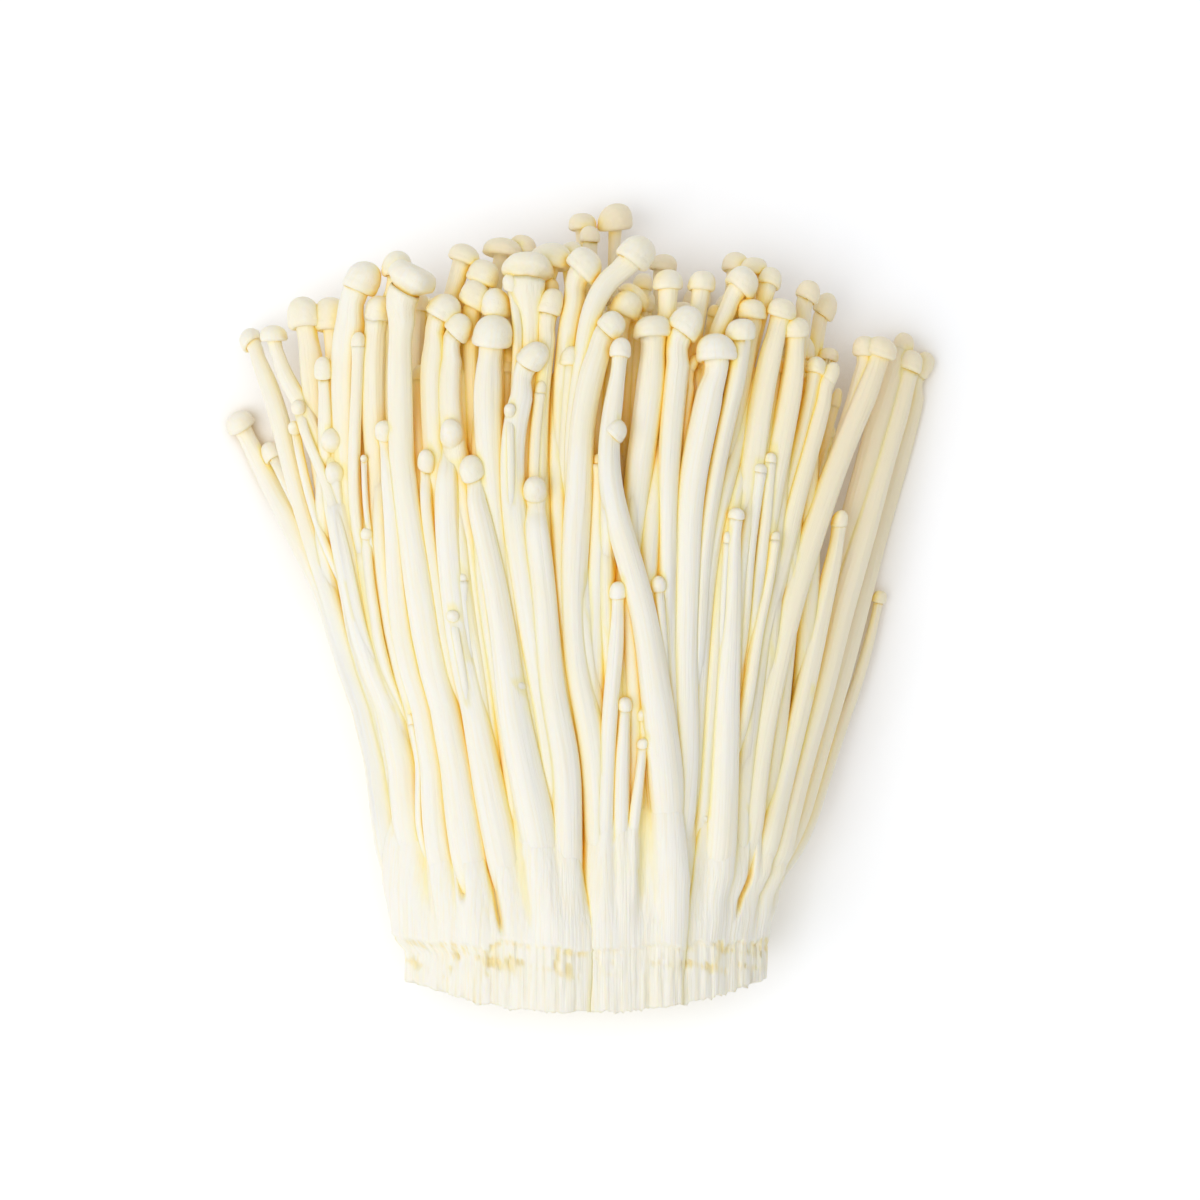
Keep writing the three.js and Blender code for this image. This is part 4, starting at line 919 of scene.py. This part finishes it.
def block_ring(tuft, mushrooms, angle, ledge_wave, edge_wave, y):
    """One ring of the block's skin at about this y, with its stains and painted shade, and the painted
    shade in its cracks and hollows.
    """
    left = max(table_at(tuft["space"][0], y), SKIN_SIDES[0])
    right = min(table_at(tuft["space"][1], y), SKIN_SIDES[1])
    _, _, cz, sink = block_at(y)
    cx = (left + right) / 2
    reach, hollow_shade = skin_radii(tuft, mushrooms, angle, y, (cx, cz))
    radii, rim_shade = held_by_neighbours(tuft, reach, angle, y, cx)
    x = cx + radii * np.sin(angle)
    z = cz + radii * np.cos(angle)
    bulge = CUT_BULGE * np.minimum(((x - ROOT_MIDDLE_X) / CUT_HALF_WIDTH) ** 2, MOST_BULGE)
    place_y = y + (1 - smooth_step(0, CUT_REACH, y - CUT_END_Y)) * (bulge + edge_wave)
    below_ledge = LEDGE_Y + ledge_wave - place_y
    under = smooth_step(-LEDGE_BLUNTNESS, LEDGE_BLUNTNESS, below_ledge)
    fibre, fine, patch, pits = (
        block_field(x, place_y, *field) for field in (FIBRE_FIELD, FINE_FIELD, PATCH_FIELD, PIT_FIELD)
    )
    near_ledge = bell(below_ledge, *STAINED_BAND) * tuft["pits"]
    pits = smooth_step(*PITTED, pits + patch) * near_ledge
    patch = smooth_step(*PATCHED, patch + 0.35 * fine) * near_ledge
    line = bell(below_ledge, *LEDGE_LINE) * smooth_step(*LINED, fine)
    cut = groove_cut(tuft, x, z, y)
    broad_depth, fine_depth = FIBRE_DEPTHS
    reach = reach - sink + FINE_ABOVE * smooth_step(*FINE_FROM, y) * fine
    reach = reach + under * (broad_depth * fibre + fine_depth * fine - LEDGE_STEP)
    reach = reach - PIT_DEPTH * pits - cut
    radii, _ = held_by_neighbours(tuft, reach, angle, y, cx)
    x = cx + radii * np.sin(angle)
    z = cz + radii * np.cos(angle)
    # Real stains in pits, patches and fibres; painted shade in the grooves, and partly painted shadow in
    # the line under the ledge's lip
    stain_and_shade = PIT_STAIN * pits + PATCH_STAIN * patch + LEDGE_LINE_STAIN_AND_SHADOW * line * tuft["pits"]
    stain_and_shade = stain_and_shade + GROOVE_SHADE * cut + under * FIBRE_STAIN * (fine + 0.4)
    return np.stack([x, place_y, z], axis=1), np.clip(stain_and_shade, 0, 1), np.maximum(rim_shade, hollow_shade)


def cut_end(first, edge_wave):
    """Rings that close the block's first ring towards its middle, domed and rough, and stained."""
    rings, stains = [], []
    for k in range(END_RINGS, 0, -1):
        share = k / END_RINGS
        ring = mix(first, first.mean(axis=0), share)
        bulge = CUT_BULGE * ((ring[:, 0] - ROOT_MIDDLE_X) / CUT_HALF_WIDTH) ** 2
        rough = block_field(ring[:, 0], ring[:, 2], *ROUGH_FIELD)
        ring[:, 1] = CUT_END_Y + bulge + edge_wave * (1 - share) ** 8
        ring[:, 1] += CUT_ROUGHNESS * smooth_step(0, 0.15, share) * rough
        ring[:, 1] = np.maximum(ring[:, 1], CUT_END_Y - MOST_RAGGED)
        rings.append(ring)
        stains.append(CUT_STAIN[0] + CUT_STAIN[1] * rough.clip(0, 2) * smooth_step(0, 0.1, share))
    rings[0][:] = rings[0].mean(axis=0)
    return rings, stains


def root_block(tuft, mushrooms):
    """The tuft's share of the fused block: a skin over its stems, a ledge, fibres and pits."""
    draw = np.random.RandomState(SEED + tuft["number"])
    sides = tuft["skin_sides"]
    angle = np.linspace(0, math.tau, sides, endpoint=False)
    arc = angle * SKIN_ARC
    ledge_wave = wave_round(arc, draw, *LEDGE_WAVE)
    edge_wave = sum(wave_round(arc, draw, *wave) for wave in EDGE_WAVES)
    edge_wave = np.maximum(edge_wave, -MOST_RAGGED)
    shares = np.linspace(0, 1, round((SKIN_END_Y - CUT_END_Y) / SKIN_STEP) + 1)
    rows, stains, crease_shades = zip(*(
        block_ring(tuft, mushrooms, angle, ledge_wave, edge_wave, mix(CUT_END_Y, SKIN_END_Y, share))
        for share in shares
    ))
    cut, cut_stains = cut_end(rows[0], edge_wave)
    close = np.repeat(rows[-1].mean(axis=0)[None], sides, axis=0)
    rings = np.stack([*cut, *rows, close])
    rings[..., 2] = np.maximum(rings[..., 2], BLOCK_FLOOR_GAP)
    count = rings.shape[0] * sides
    return {
        "corners": rings.reshape(-1, 3),
        "faces": tube_faces(len(rings), sides)[:, ::-1],
        "fibre": rings[..., [0, 2, 1]].reshape(-1, 3),
        "cap": (np.arange(count) < END_RINGS * sides).astype(float),
        "top": np.zeros(count),
        "stain_and_shade": np.concatenate([*cut_stains, *stains, np.zeros(sides)]),
        "shade": np.full(count, BLOCK_SHADE),
        "tone_and_shade": np.full(count, BLOCK_TONE),
        "crease_shade": np.concatenate([np.zeros(END_RINGS * sides), *crease_shades, np.zeros(sides)]),
    }


# ---- Pieces ----
# At each y, how far the bunch's left and right outlines are drawn in.
LEFT_DRAWN_IN = (
    (-63, 2.0), (-54.2, 2.0), (-52.6, 0.5), (-44, 0.2), (-34, 0.7), (-25, 1.5), (-16, 1.3),
    (-10, 0.4), (-4, 0),
)
RIGHT_DRAWN_IN = ((-63, 1.9), (-51.4, 1.8), (-48.5, 1.3), (-45.4, 1.2), (-42, 0.2), (-39, 0))
DRAWN_IN_WITHIN = ((-12, -28), (12, 29))  # the x between which that begins, on either side


def drawn_in(x, y):
    """Plan x, with the outermost stems and the sides of the root block drawn in as in the photo."""
    left = table_at(LEFT_DRAWN_IN, y) * smooth_step(*DRAWN_IN_WITHIN[0], x)
    right = table_at(RIGHT_DRAWN_IN, y) * smooth_step(*DRAWN_IN_WITHIN[1], x)
    return x + left - right


def make_piece(name, parts, material):
    """One mesh from many closed skins, with the values that the material reads."""
    values = {key: np.concatenate([part[key] for part in parts]) for key in parts[0] if key != "faces"}
    starts = np.cumsum([0] + [len(part["corners"]) for part in parts])
    quads = np.concatenate([part["faces"] + start for part, start in zip(parts, starts)])
    corners, fibre, shade = (values.pop(key) for key in ("corners", "fibre", "shade"))
    plan_y = corners[:, 1].copy()
    corners[:, 0] = drawn_in(corners[:, 0], plan_y)
    plan_x = corners[:, 0].copy()
    corners[:, :2] += ORIGIN_SHIFT
    mesh = bpy.data.meshes.new(name)
    mesh.from_pydata((corners * MM).tolist(), [], quads.tolist())
    # Painted shade: deeper under the crown, less at the bunch's edges
    _, half = fan_at(plan_y)
    inside = mix(EDGE_SHADE[0], 1, smooth_step(*EDGE_SHADE[1:], 1 - np.abs(plan_x) / half))
    values["depth"] = (section_at(plan_x, plan_y)[0] - corners[:, 2]) * inside * shade
    # The tone gets painted shade on the right side, away from the window, and grows yellower towards the
    # caps
    side = smooth_step(*RIGHT_SIDE_SHADE[1:], plan_x / half) * smooth_step(*RIGHT_SIDE_SHADE_FROM, plan_y)
    rise = smooth_step(*TONE_RISE[1:], plan_y)
    values["tone_and_shade"] = values["tone_and_shade"] + TONE_RISE[0] * rise + RIGHT_SIDE_SHADE[0] * side
    for key, numbers in values.items():
        layer = mesh.attributes.new(key, "FLOAT", "POINT")
        layer.data.foreach_set("value", numbers.astype(np.float32))
    layer = mesh.attributes.new("fibre", "FLOAT_VECTOR", "POINT")
    layer.data.foreach_set("vector", fibre.astype(np.float32).ravel())
    merge_points(mesh)
    mesh.polygons.foreach_set("use_smooth", [True] * len(mesh.polygons))
    mesh.materials.append(material)
    return add_object(name, mesh)


def merge_points(mesh):
    """Closes the fans: the corners of a ring that is one point become one corner."""
    shape = bmesh.new()
    shape.from_mesh(mesh)
    bmesh.ops.remove_doubles(shape, verts=shape.verts, dist=1e-7)
    bmesh.ops.recalc_face_normals(shape, faces=shape.faces)
    shape.to_mesh(mesh)
    shape.free()


# Cracks that run down into the fused block: half width, depth, and y, x from the top down.
LEFT_GROOVES = [
    (0.55, 3.2, [(-14, -25), (-25.4, -22.7), (-30.7, -21.4), (-39.5, -19.8), (-46.5, -18.6)]),
    (0.42, 2.2, [(-14, -20.5), (-26.7, -17.6), (-35.7, -15.2), (-43.2, -13.6), (-51.5, -12.1)]),
]
# Stems that have grown into one: y, x and half width from the top down.
LEFT_MASSES = [
    [(-20, -8.8, 2.4), (-28, -7.8, 3.4), (-38, -6.9, 4.8), (-46, -6, 5.6), (-53, -5.6, 6)],
    [(-30, -31, 2.5), (-38, -29, 3.6), (-46, -26.6, 4.2), (-53, -25.4, 4.4)],
    [(-36, -17, 2), (-44, -16, 2.3), (-53, -15.6, 3.4)],
]
MIDDLE_MASSES = [
    [(-32, 2.6, 2), (-40, 2.8, 2.6), (-53, 2.9, 2.8)],
    [(-26, 12.4, 2), (-38, 12.2, 3.4), (-46, 11.8, 3.9), (-53, 11.6, 3.9)],
]
RIGHT_MASSES = [[(-36, 24.4, 2), (-42, 24.2, 3), (-53, 24, 3.6)]]
RIGHT_GROOVES = [(0.33, 2.0, [(-30, 28), (-38.4, 27.2), (-43.2, 26.9), (-49.5, 25.4)])]

TUFTS = [
    {"name": "tuft_left", "number": 1, "rows": LEFT_MUSHROOMS, "skin_sides": 380, "pits": 1,
     "grooves": LEFT_GROOVES, "masses": LEFT_MASSES, "flattened": 0.44,
     "space": ([[-90, -200], [90, -200]], PARTING_LEFT), "inner": (INNER_LEFT_EDGE, PARTING_LEFT)},
    {"name": "tuft_middle", "number": 2, "rows": MIDDLE_MUSHROOMS, "skin_sides": 260, "pits": 0.5,
     "grooves": [], "masses": MIDDLE_MASSES, "flattened": 0.4,
     "space": (PARTING_LEFT, PARTING_RIGHT), "inner": (PARTING_LEFT, PARTING_RIGHT)},
    {"name": "tuft_right", "number": 3, "rows": RIGHT_MUSHROOMS, "skin_sides": 240, "pits": 1,
     "grooves": RIGHT_GROOVES, "masses": RIGHT_MASSES, "flattened": 0.36,
     "space": (PARTING_RIGHT, [[-90, 200], [90, 200]]), "inner": (PARTING_RIGHT, INNER_RIGHT_EDGE)},
]


def mushrooms_of(tuft):
    """All of a tuft's mushrooms: the listed ones, then those that fill it."""
    draw = np.random.RandomState(SEED + 50 * tuft["number"])
    mushrooms = []
    for row in shown_rows(tuft["rows"]):
        deep = row[0] >= DEEP
        sides, step = (DEEP_SIDES, DEEP_RING_STEP) if deep else (SHOWN_SIDES, RING_STEP)
        mushrooms.append(Mushroom(row, sides, step, tuft["flattened"], draw))
    for row in inner_rows(tuft["inner"]) + under_rows(tuft["inner"], draw):
        mushrooms.append(Mushroom(row, INNER_SIDES, DEEP_RING_STEP, 0, draw))
    return mushrooms


def build_bunch(material):
    """The two pieces of each tuft."""
    by_tuft = [mushrooms_of(tuft) for tuft in TUFTS]
    everyone = [mushroom for mushrooms in by_tuft for mushroom in mushrooms]
    skins = [mushroom.mesh() for mushroom in everyone]
    mark_creases(everyone, skins)
    for tuft, mushrooms in zip(TUFTS, by_tuft):
        own, skins = skins[:len(mushrooms)], skins[len(mushrooms):]
        pieces = [
            make_piece(tuft["name"] + "_mushrooms", own, material),
            make_piece(tuft["name"] + "_roots", [root_block(tuft, mushrooms)], material),
        ]
        for piece in pieces:
            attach(piece, "root")
            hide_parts(tuft["name"])


# ---- Materials ----
IVORY = (0.975, 0.948, 0.853)
CREAM = (0.985, 0.903, 0.685)
TAN = (0.94, 0.795, 0.53)
# Honey and amber are painted shade in the gaps, creases and depth of the bunch; tan is partly painted
# shade
HONEY_SHADE = (0.985, 0.82, 0.14)
AMBER_SHADE = (0.985, 0.59, 0.0)
STRAW = (0.95, 0.78, 0.36)
PAPER = (0.93, 0.95, 0.985)
# The paper's painted shadow colour where the bunch closes it in, and the paper's glow
PAINTED_CONTACT_SHADOW = (0.66, 0.57, 0.42)
PAPER_GLOW = (0.95, 0.96, 1)


class Surface:
    """A procedural material, with short names for the nodes that it is made of."""

    def __init__(self, name):
        self.material = bpy.data.materials.new(name)
        self.material.use_nodes = True
        self.shader = self.material.node_tree.nodes["Principled BSDF"]

    def feed(self, node, inputs):
        """Sets each input to a value, or links it to the socket given in its place."""
        for key, value in inputs.items():
            socket = node.inputs[key]
            if isinstance(value, bpy.types.NodeSocket):
                self.material.node_tree.links.new(value, socket)
            else:
                socket.default_value = (*value, 1) if socket.type == "RGBA" else value

    def node(self, kind, inputs, **settings):
        """The outputs of a new node."""
        made = self.material.node_tree.nodes.new("ShaderNode" + kind)
        for key, value in settings.items():
            setattr(made, key, value)
        self.feed(made, inputs)
        return made.outputs

    def value_of(self, name):
        """What make_piece wrote under this name at each corner."""
        return self.node("Attribute", {}, attribute_name=name)["Fac"]

    def openness(self, distance):
        """How open a place is to its surroundings, within this many millimetres."""
        return self.node("AmbientOcclusion", {"Distance": distance * MM}, samples=3)["AO"]

    def noise(self, scale, detail):
        """A noise laid along the fibres, with its scale across, through and along them."""
        fibre = self.node("Attribute", {}, attribute_name="fibre")["Vector"]
        place = self.node("Mapping", {"Vector": fibre, "Scale": scale})["Vector"]
        return self.node("TexNoise", {"Vector": place, "Scale": 1.0, "Detail": detail})["Fac"]

    def ramp(self, value, low, high, most, kind="SMOOTHSTEP"):
        """0 where the value is low, rising to the most where it is high."""
        ends = {"From Min": low, "From Max": high, "To Min": 0.0, "To Max": most}
        return self.node("MapRange", {"Value": value, **ends}, interpolation_type=kind)["Result"]

    def mixed(self, factor, a, b):
        return self.node("Mix", {"Factor": factor, 6: a, 7: b}, data_type="RGBA")[2]


def mushroom_flesh():
    """Ivory flesh with creamy streaks, tan tones that are partly painted shade, and painted shade in
    honey and amber in the gaps, creases and depth of the bunch.
    """
    flesh = Surface("enoki_flesh")
    tone_and_shade, on_cap = flesh.value_of("tone_and_shade"), flesh.value_of("cap")
    patches = flesh.node("Math", {0: flesh.noise((0.35, 0.35, 0.07), 3.0), 1: 0.8}, operation="MULTIPLY")
    # Half the tone, with its painted shade, creams the flesh too
    toned = flesh.node("Math", {0: tone_and_shade, 1: 0.5}, operation="MULTIPLY")
    creamy = flesh.node("Math", {0: patches[0], 1: toned[0]}, operation="ADD")[0]
    open_share = flesh.openness(3.5)
    # Each layer: what drives it, where that starts and is full, its strength and its colour.
    layers = (
        (creamy, 0.4, 1.0, 1.0, CREAM),
        (flesh.noise((2.2, 2.2, 0.045), 4.0), 0.45, 0.66, 0.6, CREAM),
        (flesh.value_of("top"), 0.15, 0.9, 0.35, CREAM),
        # partly random tone, partly painted shade on deep mushrooms and on the right side
        (tone_and_shade, 0.5, 1.9, 0.75, TAN),
        # painted shade: honey deep in the bunch, honey and amber where little is open around, honey in
        # creases
        (flesh.value_of("depth"), 1.5, 10.0, 0.3, HONEY_SHADE),
        (open_share, 0.88, 0.25, 0.82, HONEY_SHADE),
        (open_share, 0.4, 0.14, 1.0, AMBER_SHADE),
        (flesh.value_of("crease_shade"), 0.1, 1.0, 0.4, HONEY_SHADE),
        # stains, with painted shade in the block's grooves and partly under its ledge
        (flesh.value_of("stain_and_shade"), 0.0, 0.9, 0.85, STRAW),
    )
    colour = IVORY
    for driver, start, full, strength, layer in layers:
        colour = flesh.mixed(flesh.ramp(driver, start, full, strength), colour, layer)
    fibres, grain = flesh.noise((2.0, 2.0, 0.06), 4.0), flesh.noise((0.9, 0.9, 0.9), 3.0)
    relief = flesh.node("Mix", {"Factor": on_cap, 2: fibres, 3: grain}, data_type="FLOAT")[0]
    bump = flesh.node("Bump", {"Strength": 0.65, "Distance": 0.35 * MM, "Height": relief})
    flesh.feed(flesh.shader, {
        "Base Color": colour,
        "Normal": bump["Normal"],
        "Roughness": 0.48,
        "IOR": 1.4,
        "Specular IOR Level": 0.35,
        "Subsurface Weight": 0.2,
        "Subsurface Radius": (1.0, 0.7, 0.3),
        "Subsurface Scale": 0.8 * MM,
    })
    return flesh.material


def floor_paper():
    """White paper with a painted glow where it is open to the sky, so that it shows as white; near the
    bunch the glow fades and the paper darkens into a painted shadow.
    """
    paper = Surface("floor_white")
    open_share = paper.openness(14)
    # Painted contact shadow: darker, browner paper and less glow where the bunch closes it in
    contact_shadow = paper.ramp(open_share, 0.2, 0.8, 1.0, "LINEAR")
    paper.feed(paper.shader, {
        "Base Color": paper.mixed(contact_shadow, PAINTED_CONTACT_SHADOW, PAPER),
        "Emission Color": PAPER_GLOW,
        "Emission Strength": paper.ramp(open_share, 0.35, 0.95, 0.22, "LINEAR"),
        "Roughness": 0.9,
        "Specular IOR Level": 0.1,
    })
    return paper.material


# ---- Scene ----
CAMERA_HEIGHT = 480
CAMERA_VIEW = 200.4  # the picture's side on the floor, in millimetres
CAMERA_OVER = (SPLAY_FROM[0] + ORIGIN_SHIFT[0], SPLAY_FROM[1] + ORIGIN_SHIFT[1])
FLOOR_SIDE = 3.0  # metres
# The lights' place and size in metres, power in watts and colour.
LIGHTS = {
    "window": ((-0.85, -0.34, 1.36), 1.35, 12.1, (1.0, 0.995, 0.985)),
    "overhead": ((0.05, 0.05, 1.3), 1.2, 2.8, (1, 1, 1)),
}
SKY = (1, 0.995, 0.985, 1)
SKY_STRENGTH = 0.44


def add_object(name, data, place=(0, 0, 0)):
    holder = bpy.data.objects.new(name, data)
    holder.location = place
    bpy.context.collection.objects.link(holder)
    return holder


def add_camera():
    """A camera straight above the middle of the picture."""
    camera = bpy.data.cameras.new("camera")
    camera.lens = camera.sensor_width * CAMERA_HEIGHT / CAMERA_VIEW
    camera.clip_start = 0.01
    place = (CAMERA_OVER[0] * MM, CAMERA_OVER[1] * MM, CAMERA_HEIGHT * MM)
    bpy.context.scene.camera = add_object("camera", camera, place)


def add_floor():
    mesh = bpy.data.meshes.new("floor")
    half = FLOOR_SIDE / 2
    corners = [(-half, -half, 0), (half, -half, 0), (half, half, 0), (-half, half, 0)]
    mesh.from_pydata(corners, [], [(0, 1, 2, 3)])
    mesh.materials.append(floor_paper())
    floor = add_object("floor", mesh)


def add_light():
    """A soft window from the left front, a soft light overhead and a pale sky."""
    for name, (place, size, power, colour) in LIGHTS.items():
        light = bpy.data.lights.new(name, "AREA")
        light.shape = "DISK"
        light.size = size
        light.energy = power
        light.color = colour
        holder = add_object(name, light, place)
        holder.rotation_euler = (-Vector(place)).to_track_quat("-Z", "Y").to_euler()
    world = bpy.data.worlds.new("studio")
    world.use_nodes = True
    background = world.node_tree.nodes["Background"]
    background.inputs["Color"].default_value = SKY
    background.inputs["Strength"].default_value = SKY_STRENGTH
    scene = bpy.context.scene
    scene.world = world
    scene.view_settings.view_transform = "Standard"
    scene.view_settings.gamma = 1.2
    scene.cycles.diffuse_bounces = 10


add_camera()
add_floor()
add_light()
build_bunch(mushroom_flesh())
